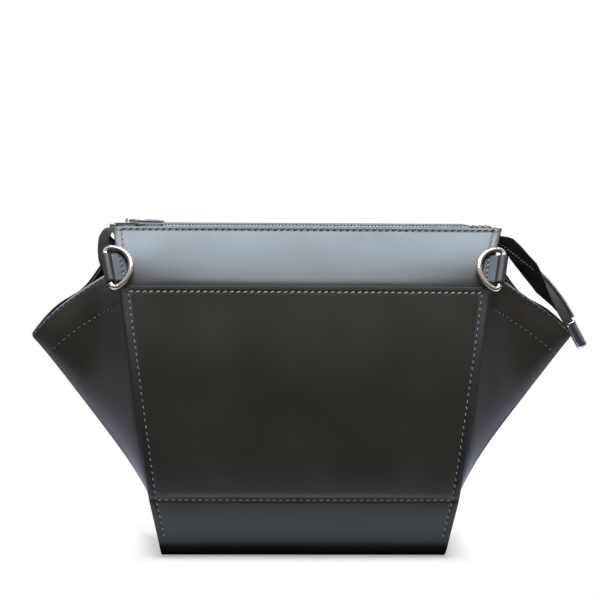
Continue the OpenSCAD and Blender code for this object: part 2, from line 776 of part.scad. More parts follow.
// Closed coil along the outer edge of the tail
tail_coil_d = 2.2;
module tail_coil() {
  sides = 8;
  function ring(k, r) =
    let (c = tail_at(k), d = path_dir(tail_path, k), up = [-d.y, d.x], h = tail_coil_d / 2 + 0.35)
    [
      for (a = [0:sides - 1])
        let (b = 360 * a / sides)
        [c.x + up.x * (h + r * sin(b)), r * cos(b), c.y + up.y * (h + r * sin(b))]
    ];
  last = tail_last - 1;
  points = [for (k = [0:last]) each ring(k, tail_coil_d / 2)];
  walls = [
    for (k = [0:last - 1]) for (a = [0:sides - 1])
      let (p = k * sides + a, q = k * sides + (a + 1) % sides)
      each [[p, q, q + sides], [p, q + sides, p + sides]]
  ];
  color([0.16, 0.15, 0.16])
    polyhedron(points, concat(
      walls,
      [[for (a = [sides - 1:-1:0]) a]],
      [[for (a = [0:sides - 1]) last * sides + a]]
    ));
}

// Metal cap on the end of the tail, with a slot that takes the folded tapes
cap_dir = path_dir(tail_path, tail_last);
cap_tilt = atan2(cap_dir.y, cap_dir.x);
module tail_end_cap() {
  mouth = tail_at(tail_last);
  r = 2.4;
  color([0.6, 0.6, 0.62])
    translate([mouth.x, 0, mouth.y]) rotate([0, -cap_tilt, 0])
      translate([-slot_depth + 0.5, 0, 1.2 - cap_w])
        rotate([90, 0, 0]) difference() {
          translate([0, 0, -cap_t / 2]) linear_extrude(cap_t) {
            square([cap_l - r, cap_w]);
            translate([0, r]) square([cap_l, cap_w - 2 * r]);
            for (y = [r, cap_w - r]) translate([cap_l - r, y]) circle(r);
          }
          translate([-1, slot_wall, -cap_t / 2 + slot_wall])
            cube([slot_depth + 1, cap_w - 2 * slot_wall + 5, cap_t - 2 * slot_wall]);
        }
}

wrap_panel();
rear_panel();
gusset_left();
gusset_right();
rim_facing_left();
rim_facing_right();
lining_body();
lining_left();
lining_right();
base_board();
zip_tape_rear();
zip_tape_front();
zip_coil_rear();
zip_coil_front();
zip_top_stops();
zip_slider();
zip_pull();
tail_tape_rear();
tail_tape_front();
tail_coil();
tail_end_cap();
d_ring_left();
d_ring_right();
ring_tab_left();
ring_tab_right();
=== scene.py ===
# %% [markdown]
# # A small trapeze bag in dark leather
# The bag is cut from firm olive leather, so it stands up by itself. Its panels are
# nearly flat, its ends fold out into two wings, and a zip with a free tail closes
# the top. Each soft piece is made here as a thin closed sheet in the place that the
# CAD model gives it, and the hard metal pieces keep their CAD shapes.

# %% Load the frame
import math
import bpy
import numpy as np
from mathutils import Matrix, Vector


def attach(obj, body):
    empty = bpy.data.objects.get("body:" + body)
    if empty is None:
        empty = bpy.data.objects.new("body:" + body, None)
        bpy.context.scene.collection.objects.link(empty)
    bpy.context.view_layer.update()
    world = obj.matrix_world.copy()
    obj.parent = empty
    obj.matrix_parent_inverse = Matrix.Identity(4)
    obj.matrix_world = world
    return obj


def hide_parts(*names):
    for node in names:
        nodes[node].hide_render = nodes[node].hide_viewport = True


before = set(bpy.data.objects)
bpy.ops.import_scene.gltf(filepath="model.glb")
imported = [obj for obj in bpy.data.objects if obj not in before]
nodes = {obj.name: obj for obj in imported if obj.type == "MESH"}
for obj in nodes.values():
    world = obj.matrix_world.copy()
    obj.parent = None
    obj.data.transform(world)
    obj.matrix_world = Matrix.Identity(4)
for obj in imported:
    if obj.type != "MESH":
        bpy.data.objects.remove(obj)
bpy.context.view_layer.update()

MM = 0.001
FULL_TURN = 2 * math.pi
ENDS, WALLS = ((-1, "left"), (1, "right")), ((-1, "rear"), (1, "front"))

# %% [markdown]
# ## Shader maths in plain Python
# A material is a small network of nodes. Wiring Math nodes by hand hides what they
# work out, so a Wire wraps one socket, and adding or multiplying wires adds the
# nodes. Any other node comes from Finish.add, which takes its type, then its
# settings, then what goes into its sockets.

# %% Wires and finishes
class Wire:
    """One output socket, with operators that add Math nodes."""

    def __init__(self, finish, socket):
        self.finish, self.socket = finish, socket

    def math(self, operation, *others):
        values = dict(enumerate((self,) + others))
        return self.finish.add("ShaderNodeMath", {"operation": operation}, values)

    def __add__(self, other): return self.math("ADD", other)
    def __sub__(self, other): return self.math("SUBTRACT", other)
    def __mul__(self, other): return self.math("MULTIPLY", other)
    def __truediv__(self, other): return self.math("DIVIDE", other)
    def __rsub__(self, other): return self * -1 + other
    __radd__, __rmul__ = __add__, __mul__

    def wave(self): return self.math("SINE")
    def part(self): return self.math("FRACT")
    def size(self): return self.math("ABSOLUTE")

    def range(self, low, high, to_low=0.0, to_high=1.0):
        return self.finish.add("ShaderNodeMapRange", {"clamp": True}, {
            "Value": self, "From Min": low, "From Max": high,
            "To Min": to_low, "To Max": to_high})

    def out(self, name):
        return Wire(self.finish, self.socket.node.outputs[name])


class Finish:
    """A material, or the world, under construction."""

    def __init__(self, name, owner=None):
        self.owner = owner or bpy.data.materials.new(name)
        self.owner.use_nodes = True
        self.tree = self.owner.node_tree
        self.tree.nodes.clear()

    def add(self, kind, settings=None, sockets=None):
        node = self.tree.nodes.new(kind)
        for key, value in (settings or {}).items():
            setattr(node, key, value)
        for key, value in (sockets or {}).items():
            socket = node.inputs[key]
            if isinstance(value, Wire):
                self.tree.links.new(value.socket, socket)
            else:
                socket.default_value = (*value, 1) if socket.type == "RGBA" else value
        return Wire(self, node.outputs[0]) if node.outputs else None

    def mix(self, factor, a, b):
        """Colour a where the factor is 0 and b where it is 1."""
        mixed = self.add("ShaderNodeMix", {"data_type": "RGBA"}, {0: factor, 6: a, 7: b})
        return mixed.out(2)

    def blend(self, factor, a, b):
        """Shader a where the factor is 0 and b where it is 1."""
        return self.add("ShaderNodeMixShader", None, {0: factor, 1: a, 2: b})

    def place(self, kind="Object"):
        """Coordinates in metres, or the sheet's own, which count millimetres."""
        return self.add("ShaderNodeTexCoord").out(kind)

    def axes(self, kind="Object"):
        x = self.add("ShaderNodeSeparateXYZ", None, {"Vector": self.place(kind)})
        return x, x.out("Y"), x.out("Z")

    def noise(self, scale, detail=3.0, roughness=0.5):
        return self.add("ShaderNodeTexNoise", None, {
            "Scale": scale, "Detail": detail, "Roughness": roughness, "Vector": self.place()})

    def bump(self, height, depth, strength=1.0):
        """Height from 0 to 1 becomes relief of the given depth in metres."""
        return self.add("ShaderNodeBump", None, {
            "Height": height, "Distance": depth, "Strength": strength})

    def surface(self, **sockets):
        names = {key.replace("_", " "): value for key, value in sockets.items()}
        shader = self.add("ShaderNodeBsdfPrincipled", None, names)
        self.add("ShaderNodeOutputMaterial", None, {"Surface": shader})
        return self.owner


def tint(colour, share):
    return tuple(share * c for c in colour)


print("Wire and Finish are ready")

# %% [markdown]
# ## Leather
# The bag's leather is dyed a very dark olive and lightly polished, so what it shows
# is mostly reflection: bright where it faces the lamp, and dark where it faces the
# room. The colour therefore stays dark and nearly even, and the finish comes from a
# middling roughness, a fine pore grain in the bump, and slow changes of gloss.
# Painted highlight and shade are added on the panels' side margins, on the wings'
# rims and where the hide bends into the base.

# %% Leather finishes
def leather(name, colour, roughness=0.36, grain=1.0, panel_width=0.0, rim_at=0.0):
    """panel_width and rim_at are places in mm on the flat hide, and ask for the painted
    highlight and shade on a panel's side margins and the painted highlight on a wing's rim."""
    f = Finish(name)
    cloud, speck = f.noise(28.0, detail=4.0), f.noise(900.0, detail=2.0)
    base = f.mix(cloud.range(0.35, 0.65), tint(colour, 0.9), tint(colour, 1.1))
    base = f.mix(speck.range(0.45, 0.75, 0.0, 0.35), base, tint(colour, 0.6))
    height_up = f.axes()[2]
    if panel_width:
        # The margin outside the side seams is pressed flat. Painted highlight makes it paler
        # higher up, and painted shade makes it darker lower down
        from_edge = panel_width / 2 - (f.axes("UV")[0] - panel_width / 2).size()
        strip, margin_highlight = from_edge.range(5.4, 6.2, 1, 0), height_up.range(0.05, 0.15)
        base = f.mix(strip * margin_highlight * 0.8, base, (0.060, 0.062, 0.058))
        base = f.mix(strip * (1 - margin_highlight) * 0.7, base, tint(colour, 0.35))
    if rim_at:
        # Painted highlight pales the wing's rim outside its upper stitches
        from_rim = rim_at - f.axes("UV")[1]
        base = f.mix(from_rim.range(1.9, 2.8, 0.95, 0.0), base, (0.200, 0.216, 0.222))
    # Painted shade darkens the hide below about 16 mm, where it bends under into the base
    base = f.mix(height_up.range(0.005, 0.016, 0.8, 0.0), base, tint(colour, 0.15))
    pores = f.add("ShaderNodeTexVoronoi", {"feature": "F1"},
                  {"Scale": 1500.0, "Vector": f.place()})
    creases = f.noise(420.0, detail=5.0, roughness=0.6)
    height = pores.range(0.0, 0.5) * 0.6 + creases * 0.7
    gloss = (cloud.range(0.3, 0.7, roughness - 0.03, roughness + 0.04)
             + speck.range(0.3, 0.7, -0.02, 0.03))
    return f.surface(Base_Color=base, Roughness=gloss, IOR=1.48,
                     Normal=f.bump(height, 0.00006 * grain, 0.35))


OLIVE, OLIVE_BROWN = (0.0280, 0.0256, 0.0146), (0.0285, 0.0222, 0.0135)
PANEL_FLAT = 221.0
body_leather = leather("body_leather", OLIVE, roughness=0.33)
pocket_leather = leather("pocket_leather", OLIVE, roughness=0.34, panel_width=PANEL_FLAT)
# The facing inside the wings' rims is paler than the body leather: painted light, as the
# wing's mouth lies in shade
facing_leather_painted_light = leather("facing_leather_painted_light", (0.080, 0.086, 0.078), roughness=0.40)
# The tabs take a darker copy of the leather: painted shade where they lie under the rings
shaded_tab_leather = leather("shaded_tab_leather", (0.013, 0.013, 0.011), roughness=0.52, grain=1.2)


def cut_edge(name, gloss):
    """The sealed edge of the leather: darker, with the fibres just showing."""
    f = Finish(name)
    fuzz = f.noise(1600.0, detail=4.0)
    base = f.mix(fuzz.range(0.3, 0.7), (0.012, 0.011, 0.009), (0.034, 0.031, 0.026))
    return f.surface(Base_Color=base, Normal=f.bump(fuzz, 0.00005, 0.5),
                     Roughness=fuzz.range(0.3, 0.7, gloss - 0.08, gloss + 0.08))


edge_paint = cut_edge("cut_edge", 0.58)
# A dull copy of the cut edge for the pocket's lip: painted shadow under the band
mouth_lip_shade = cut_edge("mouth_lip_painted_shade", 0.80)
top_edge_paint = cut_edge("polished_top_edge", 0.34)
print("leather finishes:", body_leather.name, pocket_leather.name, shaded_tab_leather.name)

# %% [markdown]
# ## Cloth, thread and metal
# The lining is plain woven cotton and the zip's tape is a tight herringbone. Both
# patterns are worked out from the sheet's own coordinates, which are laid out in
# millimetres across the cloth, so the threads run straight however the piece bends.
# Thread gets a twist from a wave, and the metal is a warm, polished nickel.

# %% Cloth finishes
def woven(name, colour, pitch_mm, roughness, herringbone=False):
    f = Finish(name)
    x, y, _ = f.axes("UV")
    warp = (x * (FULL_TURN / pitch_mm)).wave()
    if herringbone:
        # Twill lines that turn back every few threads
        turn = ((x / (pitch_mm * 5)).part() - 0.5).size() * (pitch_mm * 10)
        lines = ((y + turn) * (FULL_TURN / (pitch_mm * 1.6))).wave()
        height = lines.range(-1, 1) * 0.75 + warp.range(-1, 1) * 0.25
    else:
        height = (warp * (y * (FULL_TURN / pitch_mm)).wave()).range(-1, 1)
    fuzz = f.noise(1500.0)
    base = f.mix(height * 0.8 + fuzz * 0.2, tint(colour, 0.55), tint(colour, 1.35))
    return f.surface(Base_Color=base, Roughness=roughness, Sheen_Weight=0.02,
                     Sheen_Roughness=0.4, Normal=f.bump(height, 0.00012, 0.7))


tape_cloth = woven("zip_tape_cloth", (0.050, 0.044, 0.037), 0.55, 0.72, herringbone=True)
# The tapes' underside takes a darker copy of the tape cloth, as painted shade
shaded_tape_cloth = woven("zip_tape_underside_shade", (0.009, 0.0085, 0.008), 0.55, 0.72, herringbone=True)
lining_cloth = woven("lining_cloth", (0.030, 0.029, 0.022), 0.45, 0.75)
print("cloth finishes:", tape_cloth.name, lining_cloth.name)


# %% Thread, coil and board finishes
def thread(name, colour, roughness=0.55):
    f = Finish(name)
    x, y, _ = f.axes("UV")
    ply = ((x * 1.1 + y * 2.4) * FULL_TURN).wave().range(-1, 1)
    return f.surface(Base_Color=f.mix(ply, tint(colour, 0.6), colour),
                     Roughness=roughness, Normal=f.bump(ply, 0.00008, 0.6))


pale_thread = thread("pale_thread", (0.36, 0.34, 0.30))
grey_thread = thread("grey_thread", (0.20, 0.20, 0.195))
# Near-black thread for the rows along the top edge: painted shade for the shadow in those
# stitches
shaded_top_thread = thread("shaded_top_thread", (0.012, 0.012, 0.012), roughness=0.85)
white_thread = thread("white_thread", (0.62, 0.62, 0.60))


def plain(name, colour, roughness, bump_scale=700.0, depth=0.00003):
    f = Finish(name)
    spread = f.noise(bump_scale)
    base = f.mix(spread.range(0.3, 0.7), tint(colour, 0.85), tint(colour, 1.12))
    gloss = spread.range(0.3, 0.7, roughness - 0.04, roughness + 0.04)
    return f.surface(Base_Color=base, Roughness=gloss, Normal=f.bump(spread, depth, 0.3))


# Needle holes are near black: painted shade in the holes
needle_hole_shade = plain("needle_hole_shade", (0.004, 0.004, 0.004), 0.9)
# The top coil is a paler copy of the tail's nylon: painted highlight from the lamp on its
# bumps
coil_nylon = plain("coil_nylon", (0.32, 0.325, 0.32), 0.26)
tail_nylon = plain("tail_coil_nylon", (0.075, 0.068, 0.060), 0.42)
fibre_board = plain("fibre_board", (0.16, 0.11, 0.065), 0.85, 300.0, 0.0001)
print("thread, nylon and board finishes are ready")


# %% Metal finishes
def metal(name, colour, roughness, wear):
    f = Finish(name)
    scuff, fine = f.noise(260.0, detail=6.0, roughness=0.7), f.noise(2600.0, detail=2.0)
    return f.surface(Base_Color=f.mix(scuff.range(0.4, 0.75), colour, tint(colour, 0.9)),
                     Roughness=scuff.range(0.35, 0.7, roughness, roughness + wear),
                     Metallic=1.0, Normal=f.bump(fine, 0.000004, 0.2))


nickel = metal("pale_nickel", (0.84, 0.68, 0.57), 0.05, 0.06)
satin_nickel = metal("satin_nickel", (0.93, 0.90, 0.87), 0.24, 0.08)
cap_metal = metal("polished_cap", (0.66, 0.66, 0.67), 0.14, 0.08)
print("metal finishes:", nickel.name, satin_nickel.name, cap_metal.name)

# %% [markdown]
# ## From points to sheets
# Leather, lining and tape are all sheets: two skins a little apart, joined round
# the border. A grid of points for each skin is enough, and the border is rounded by
# letting the skins draw together over the last half millimetre, which is how a
# burnished edge looks. Rows and columns that are closer near the border keep that
# rounding crisp, and each point also gets its place on the flat hide as a UV.

# %% Mesh helpers
def build(name, verts, faces, materials, picks=None, uvs=None):
    """A mesh piece from points in millimetres. picks gives each face a material."""
    mesh = bpy.data.meshes.new(name)
    mesh.from_pydata([tuple(MM * c for c in v) for v in verts], [], faces)
    for m in materials:
        mesh.materials.append(m)
    for k, poly in enumerate(mesh.polygons):
        poly.use_smooth = True
        poly.material_index = picks[k] if picks else 0
    if uvs:
        layer = mesh.uv_layers.new(name="hide")
        corners = np.zeros(len(mesh.loops), int)
        mesh.loops.foreach_get("vertex_index", corners)
        layer.data.foreach_set("uv", np.asarray(uvs, float)[corners].ravel())
    mesh.update()
    piece = bpy.data.objects.new(name, mesh)
    bpy.context.scene.collection.objects.link(piece)
    return piece


def settle(piece, body, slot, *replaced):
    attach(piece, body)
    if replaced:
        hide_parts(*replaced)


def stations(length, step, edge=0.5):
    """Places along a length: even steps, and closer ones at both ends."""
    near = [0.0, 0.12 * edge, 0.4 * edge, edge]
    count = max(2, int(round((length - 2 * edge) / step)))
    middle = [edge + (length - 2 * edge) * k / count for k in range(1, count)]
    return np.array(near + middle + [length - d for d in reversed(near)])


def closer(places, *seams):
    """Adds places beside each seam, where the thread pulls the leather in."""
    beside = [s + d for s in seams for d in (-1.8, -1.1, -0.55, 0.0, 0.55, 1.1, 1.8)]
    kept = [p for p in places
            if min(p, places[-1] - p) < 0.6 or min(abs(p - q) for q in beside) > 0.45]
    return np.array(sorted(kept + beside))


def sheet(name, a, b, point, thick, face, edge_face, edge=0.5, back=None):
    """A closed sheet. point(i, j, depth) gives the place depth mm below the outer
    skin at a[i], b[j]; a and b are places in mm along the two sides."""
    rows, cols, half = len(a), len(b), len(a) * len(b)
    round_to = 0.98 * min(edge, thick / 2)
    verts, uvs = [], []
    for skin in (0, 1):
        for i in range(rows):
            for j in range(cols):
                d = min(a[i], a[-1] - a[i], b[j], b[-1] - b[j], edge)
                sink = round_to * (1 - math.sqrt(max(0.0, 1 - (1 - d / edge) ** 2)))
                verts.append(point(i, j, thick - sink if skin else sink))
                uvs.append((b[j], a[i]))
    cells = [(i, j) for i in range(rows - 1) for j in range(cols - 1)]
    outer = [[i * cols + j, (i + 1) * cols + j, (i + 1) * cols + j + 1, i * cols + j + 1]
             for i, j in cells]
    inner = [[v + half for v in reversed(q)] for q in outer]
    ring = (list(range(cols - 1)) + [i * cols + cols - 1 for i in range(rows - 1)]
            + list(range(half - 1, half - cols, -1))
            + [i * cols for i in range(rows - 1, 0, -1)])
    rim = [[p, q, q + half, p + half] for p, q in zip(ring, ring[1:] + ring[:1])]
    faces = outer + inner + rim
    m = (rows // 2) * cols + cols // 2
    p0, p1, p2, p3 = (np.array(verts[k]) for k in (m, m + cols, m + 1, m + half))
    if np.dot(np.cross(p1 - p0, p2 - p0), p0 - p3) < 0:
        faces = [q[::-1] for q in faces]
    steep = [min(a[i], a[-1] - a[i + 1], b[j], b[-1] - b[j + 1]) < 0.35 * edge
             for i, j in cells]
    under = 2 if back else 0
    picks = [int(s) for s in steep] + [1 if s else under for s in steep] + [1] * len(rim)
    return build(name, verts, faces, [face, edge_face] + ([back] if back else []), picks, uvs)


def repaint(piece, material, low, high, rear_face=False):
    """Another finish between two heights in mm, on the cut edge or the rear side."""
    piece.data.materials.append(material)
    new = len(piece.data.materials) - 1
    for poly in piece.data.polygons:
        chosen = poly.center.y < 0 if rear_face else poly.material_index == 1
        if chosen and low < poly.center.z / MM < high:
            poly.material_index = new


print("sheet() makes every flat piece of the bag")


# %% Line and loft helpers
def unit(v):
    return v / np.linalg.norm(v)


def smooth(t):
    t = min(1.0, max(0.0, t))
    return t * t * (3 - 2 * t)


def mix(a, b, t):
    return a + (b - a) * t


def circle(sides):
    return [(math.cos(FULL_TURN * k / sides), math.sin(FULL_TURN * k / sides))
            for k in range(sides)]


def run_of(points):
    """Length along a line of points, up to each of them."""
    return np.r_[0, np.cumsum(np.linalg.norm(np.diff(points, axis=0), axis=1))]


def along(s, run, points):
    """The point s mm along the line. Several s give one column for each."""
    return np.array([np.interp(s, run, column) for column in np.transpose(points)])


def headings(points):
    """Unit direction of the line at each of its points."""
    ways = np.gradient(np.array(points, float), axis=0)
    return ways / np.linalg.norm(ways, axis=1)[:, None]


def spline(points, steps):
    """A smooth curve through points, in steps for each span."""
    p = [np.array(q, float) for q in points]
    p = [2 * p[0] - p[1]] + p + [2 * p[-1] - p[-2]]
    out = []
    for k in range(1, len(p) - 2):
        a, b, c, d = p[k - 1:k + 3]
        for t in np.arange(steps) / steps:
            out.append(0.5 * (2 * b + (c - a) * t + (2 * a - 5 * b + 4 * c - d) * t ** 2
                              + (3 * b - a - 3 * c + d) * t ** 3))
    return out + [p[-2]]


def loft(rings):
    """Points and faces of a closed tube through rings of points."""
    n, last = len(rings[0]), (len(rings) - 1) * len(rings[0])
    faces = [[r + c, r + (c + 1) % n, r + n + (c + 1) % n, r + n + c]
             for r in range(0, last, n) for c in range(n)]
    faces += [list(reversed(range(n))), [last + c for c in range(n)]]
    return [p for ring in rings for p in ring], faces


def joined(parts):
    """One list of points and one of faces from several lofts."""
    verts, faces = [], []
    for points, quads in parts:
        faces += [[len(verts) + i for i in q] for q in quads]
        verts += points
    return verts, faces


def tube(points, radius, sides):
    """A loft of circles along points in mm."""
    rings = []
    for p, t in zip(np.array(points, float), headings(points)):
        side = np.cross(t, (0.0, 0.0, 1.0))
        side = unit(side) if np.linalg.norm(side) > 1e-3 else np.array([0.0, 1.0, 0.0])
        top = np.cross(side, t)
        rings.append([p + radius * (side * c - top * s) for c, s in circle(sides)])
    return loft(rings)


print("loft() makes the threads, coils and cap")

# %% [markdown]
# ## The shape of the bag
# Seen from its end, the bag is one curve: flat base, tight bend, a belly, and then
# a band that leans in to the zip. The curve is the inner face of the body leather,
# as in the CAD model, and it is softened slightly where the band bends, because
# thick leather doesn't crease there.

# %% The profile
PANEL_H, MOUTH_H, SEAM_H, RIM_H = 196.7, 163.5, 36.0, 173.5
BASE_W, SEAM_W, MOUTH_W, TOP_W = 170.0, 186.0, 221.0, 236.0
BASE_DEPTH, TOP_GAP, MOUTH_DEPTH = 89.0, 16.0, 70.0
CORNER_R, LEATHER, REAR, GUSSET = 9.0, 1.8, 1.6, 1.6
GAP, FACING, LINING = 0.3, 1.0, 0.7
SWELL, EASE = 3.0, 2.0
BASE_H, BAND = LEATHER + GAP / 2, PANEL_H - MOUTH_H
BELLY = [(45.5, SEAM_H), (47.0, 66.0), (43.25, 120.0)]
BAND_SLOPE = (MOUTH_DEPTH - TOP_GAP) / 2 / BAND
BAND_LEAN = math.atan(BAND_SLOPE)
STEP, SOFTNESS = 0.5, 3.0


def make_profile():
    bend_d, bend_r = BASE_DEPTH / 2 - CORNER_R, CORNER_R - BASE_H
    line = [np.array([bend_d * k / 20, BASE_H]) for k in range(20)]
    line += [np.array([bend_d + bend_r * math.sin(t), CORNER_R - bend_r * math.cos(t)])
             for t in np.radians(np.linspace(0, 83, 17))]
    line += spline([line[-1]] + BELLY + [(MOUTH_DEPTH / 2, MOUTH_H)], 24)[1:]
    top = np.array([TOP_GAP / 2, PANEL_H])
    return np.array(line + [mix(line[-1], top, k / 24) for k in range(1, 25)])


def soften(values):
    reach = int(4 * SOFTNESS)
    kernel = np.exp(-0.5 * (np.arange(-reach, reach + 1) / SOFTNESS) ** 2)
    before = 2 * values[0] - values[reach:0:-1]
    after = 2 * values[-1] - values[-2:-reach - 2:-1]
    return np.convolve(np.r_[before, values, after], kernel / kernel.sum(), "valid")


raw = make_profile()
raw_run = run_of(raw)
run = np.linspace(0, raw_run[-1], int(raw_run[-1] / STEP) + 1)
curve_d, curve_z = (soften(values) for values in along(run, raw_run, raw))
curve_d[0], curve_z[0] = 0.0, BASE_H
tangent = headings(np.stack([curve_d, curve_z], 1))
tangent[0] = (1, 0)
TOP_S = run[-1]


def at(s):
    """Distance from the middle plane, height and outward normal at s mm up the curve."""
    s = min(max(s, 0.0), TOP_S)
    d, z = np.interp(s, run, curve_d), np.interp(s, run, curve_z)
    td, tz = along(s, run, tangent)
    n = math.hypot(td, tz)
    return d, z, tz / n, -td / n


def s_of(height):
    """How far up the curve a height lies, above the base."""
    start = int(40 / STEP)
    return float(np.interp(height, curve_z[start:], run[start:]))


def half_width(z):
    return float(np.interp(z, [0, SEAM_H, MOUTH_H, PANEL_H],
                           [BASE_W / 2, SEAM_W / 2, MOUTH_W / 2, TOP_W / 2]))


def swell(u, z):
    return SWELL * (1 - u * u) * math.sin(math.pi * min(1, max(0, z / PANEL_H))) ** 2


def fold_back(t):
    """A strip that runs over both walls: which wall, and how far up the curve."""
    return (-1, -t) if t < 0 else (1, t)


S_SEAM, S_MOUTH, S_RIM = s_of(SEAM_H), s_of(MOUTH_H), s_of(RIM_H)
print("curve length", round(float(TOP_S), 1), "mm; seam, mouth and rim at",
      [round(s, 1) for s in (S_SEAM, S_MOUTH, S_RIM)])

# %% [markdown]
# ## The two body panels
# One hide makes the pocket front, the base and the front wall, and a second one
# makes the band above the pocket and goes on down behind it. Thread pulls leather
# in, so every seam lies in a shallow groove, and the margin outside it turns away a
# little, which is why the bag's side edges catch a line of light. A painted highlight
# on the pocket hide's margins adds to that line higher up.

# %% Relief of the panels
SIDE_SEAM, TOP_SEAM, POCKET_SEAM = 4.3, 2.6, 3.4
BAND_SHIFT, MARGIN_TURN, REAR_FOOT = 2.4, 0.55, 14.0
# The front wall's top edge and the pocket's lip are rolled a little lower
FRONT_LOW, MOUTH_LOW = 0.6, 0.9
# The front edge dips this deep from this x on, at the open end, where the zip leaves
DIP, DIP_FROM = 2.6, 96.0
CROWN, CROWN_SIDES = 0.75, 1.6


def groove(distance, depth=0.28, width=0.9):
    return depth * math.exp(-(distance / width) ** 2)


def margin(d):
    """How far the hide turns in beside its side seam, d mm from the cut edge."""
    return MARGIN_TURN * (1 - smooth(d / SIDE_SEAM)) + groove(d - SIDE_SEAM)


def panel_spot(side, x_share, s, off):
    """The band leans a little towards the zip's open end, more so at the top."""
    d, z, nd, nz = at(s)
    shift = BAND_SHIFT * max(0.0, (z - MOUTH_H) / BAND) ** 1.5
    return (x_share * half_width(z) + shift,
            side * (d + swell(x_share, z) + off * nd), z + off * nz)


def puff(u, s):
    """The pocket's front eases outward over its height, and rides up just above its
    bottom seam, behind the groove."""
    rise = EASE * (1 - u * u) * smooth((at(s)[1] - SEAM_H) / (MOUTH_H - SEAM_H))
    above = s - S_SEAM
    if above > 0:
        fold = 0.25 * (above / 2) * math.exp(1 - above / 2)
        rise += (1 - u ** 6) * (fold + smooth(above / 3.5) * (1 - smooth(above / 60)))
    return rise


def band_crown(u, z):
    """The band is slightly domed, more so towards its sides, where the wings pull."""
    v = max(0.0, (z - MOUTH_H) / BAND)
    return (CROWN + CROWN_SIDES * u ** 4) * 4 * v * (1 - v)


print("the band's crown:", round(band_crown(0, MOUTH_H + BAND / 2), 2), "mm at its middle")

# %% Body panels
S_LIP = S_MOUTH - MOUTH_LOW
wrap_len = TOP_S - FRONT_LOW + S_LIP
wrap_a = closer(stations(wrap_len, 2.6), POCKET_SEAM, S_LIP - S_SEAM, S_LIP + TOP_S - TOP_SEAM)
wrap_b = closer(stations(PANEL_FLAT, 4.2), SIDE_SEAM + 0.5, PANEL_FLAT - SIDE_SEAM - 0.5)


def wrap_point(i, j, depth):
    side, s = fold_back(wrap_a[i] - S_LIP)
    u = 2 * wrap_b[j] / PANEL_FLAT - 1
    if side > 0:
        near_end = smooth((u * TOP_W / 2 - DIP_FROM) / 8)
        s -= DIP * near_end * smooth((s - S_MOUTH) / (TOP_S - S_MOUTH))
    z = at(s)[1]
    off = GAP / 2 + LEATHER - depth
    if z > 10:
        off -= margin((1 - abs(u)) * half_width(z))
    if side < 0:
        off += puff(u, s)
        off -= groove(s - S_SEAM, 0.4, 1.0) + groove(S_LIP - s - POCKET_SEAM, 0.3, 0.8)
    else:
        off -= groove(TOP_S - s - TOP_SEAM, 0.3, 0.8)
    return panel_spot(side, u, s, off)


wrap = sheet("wrap_leather", wrap_a, wrap_b, wrap_point, LEATHER, pocket_leather, edge_paint)
settle(wrap, "bag", "body_leather", "wrap_panel")
repaint(wrap, top_edge_paint, 190, 200)
# Painted shadow: the pocket's lip, on its outer face too, takes the dull cut edge
repaint(wrap, mouth_lip_shade, MOUTH_H - MOUTH_LOW - 0.75, MOUTH_H + 3, rear_face=True)

S_FOOT = s_of(REAR_FOOT)
rear_a = closer(stations(TOP_S - S_FOOT, 2.6), TOP_S - S_FOOT - TOP_SEAM)
rear_b = closer(stations(TOP_W, 4.2), SIDE_SEAM, TOP_W - SIDE_SEAM)


def rear_point(i, j, depth):
    s = S_FOOT + rear_a[i]
    u = 2 * rear_b[j] / TOP_W - 1
    z = at(s)[1]
    off = -GAP / 2 - depth - groove(TOP_S - s - TOP_SEAM, 0.3, 0.8) + band_crown(u, z)
    if z > MOUTH_H:
        off -= margin((1 - abs(u)) * half_width(z)) * smooth((z - MOUTH_H) / 6)
    return panel_spot(-1, u, s, off)


rear = sheet("rear_leather", rear_a, rear_b, rear_point, REAR, body_leather, edge_paint)
settle(rear, "bag", "body_leather", "rear_panel")
repaint(rear, top_edge_paint, 194, 200)
print("panels:", len(wrap.data.polygons) + len(rear.data.polygons), "faces")

# %% [markdown]
# ## The wings
# Each end of the bag is a gusset that is folded outward. Low down it is a flat end
# wall; towards the rim its two walls close to a thin wing with a Y-shaped mouth.
# The same formula as in the CAD model gives the shape, with finer steps, and every
# inner layer is the same surface moved inward.

# %% The shape of a wing
WING_SPAN, RIM_DROP, FOLD_H, FOLD_INSET, FOLD_R = 329.0, 43.0, 38.0, 2.0, 3.2
TIP_H = RIM_H - RIM_DROP
EDGE_SET, FLANGE = 0.5, 9.0
# How far the rims bow up and the tips flare out, in mm, and how soft the folds are
LEFT_BOW, RIM_BOW, TIP_LIFT, FLARE, FAR_LIFT, FOLD_SOFT = 8.2, 7.2, 2.0, 2.0, 9.0, 16.0
# How hollow the walls are towards the rim, and over what share the far rim lifts
NEAR_HOLLOW, FAR_HOLLOW, FAR_SHARE = 4.5, 1.5, 0.36
RIM_SEAM, LOW_SEAM, LOW_FALL = 3.2, 24.0, 4.0
RIM_PINCH, ACROSS_FLAT, WING_STEPS = 1.25, 150.0, 26


def stack(side, z):
    return GAP / 2 + (side < 0) * (REAR + GAP) * smooth((z - CORNER_R) / CORNER_R)


def fold_x(z):
    places = [BASE_W / 2 - 2 * FOLD_INSET, half_width(FOLD_H / 2) - 2 * FOLD_INSET,
              half_width(FOLD_H) + FOLD_INSET, WING_SPAN / 2 - FOLD_INSET, WING_SPAN / 2]
    return float(np.interp(z, [0, FOLD_H / 2, FOLD_H, TIP_H - 4, TIP_H], places))


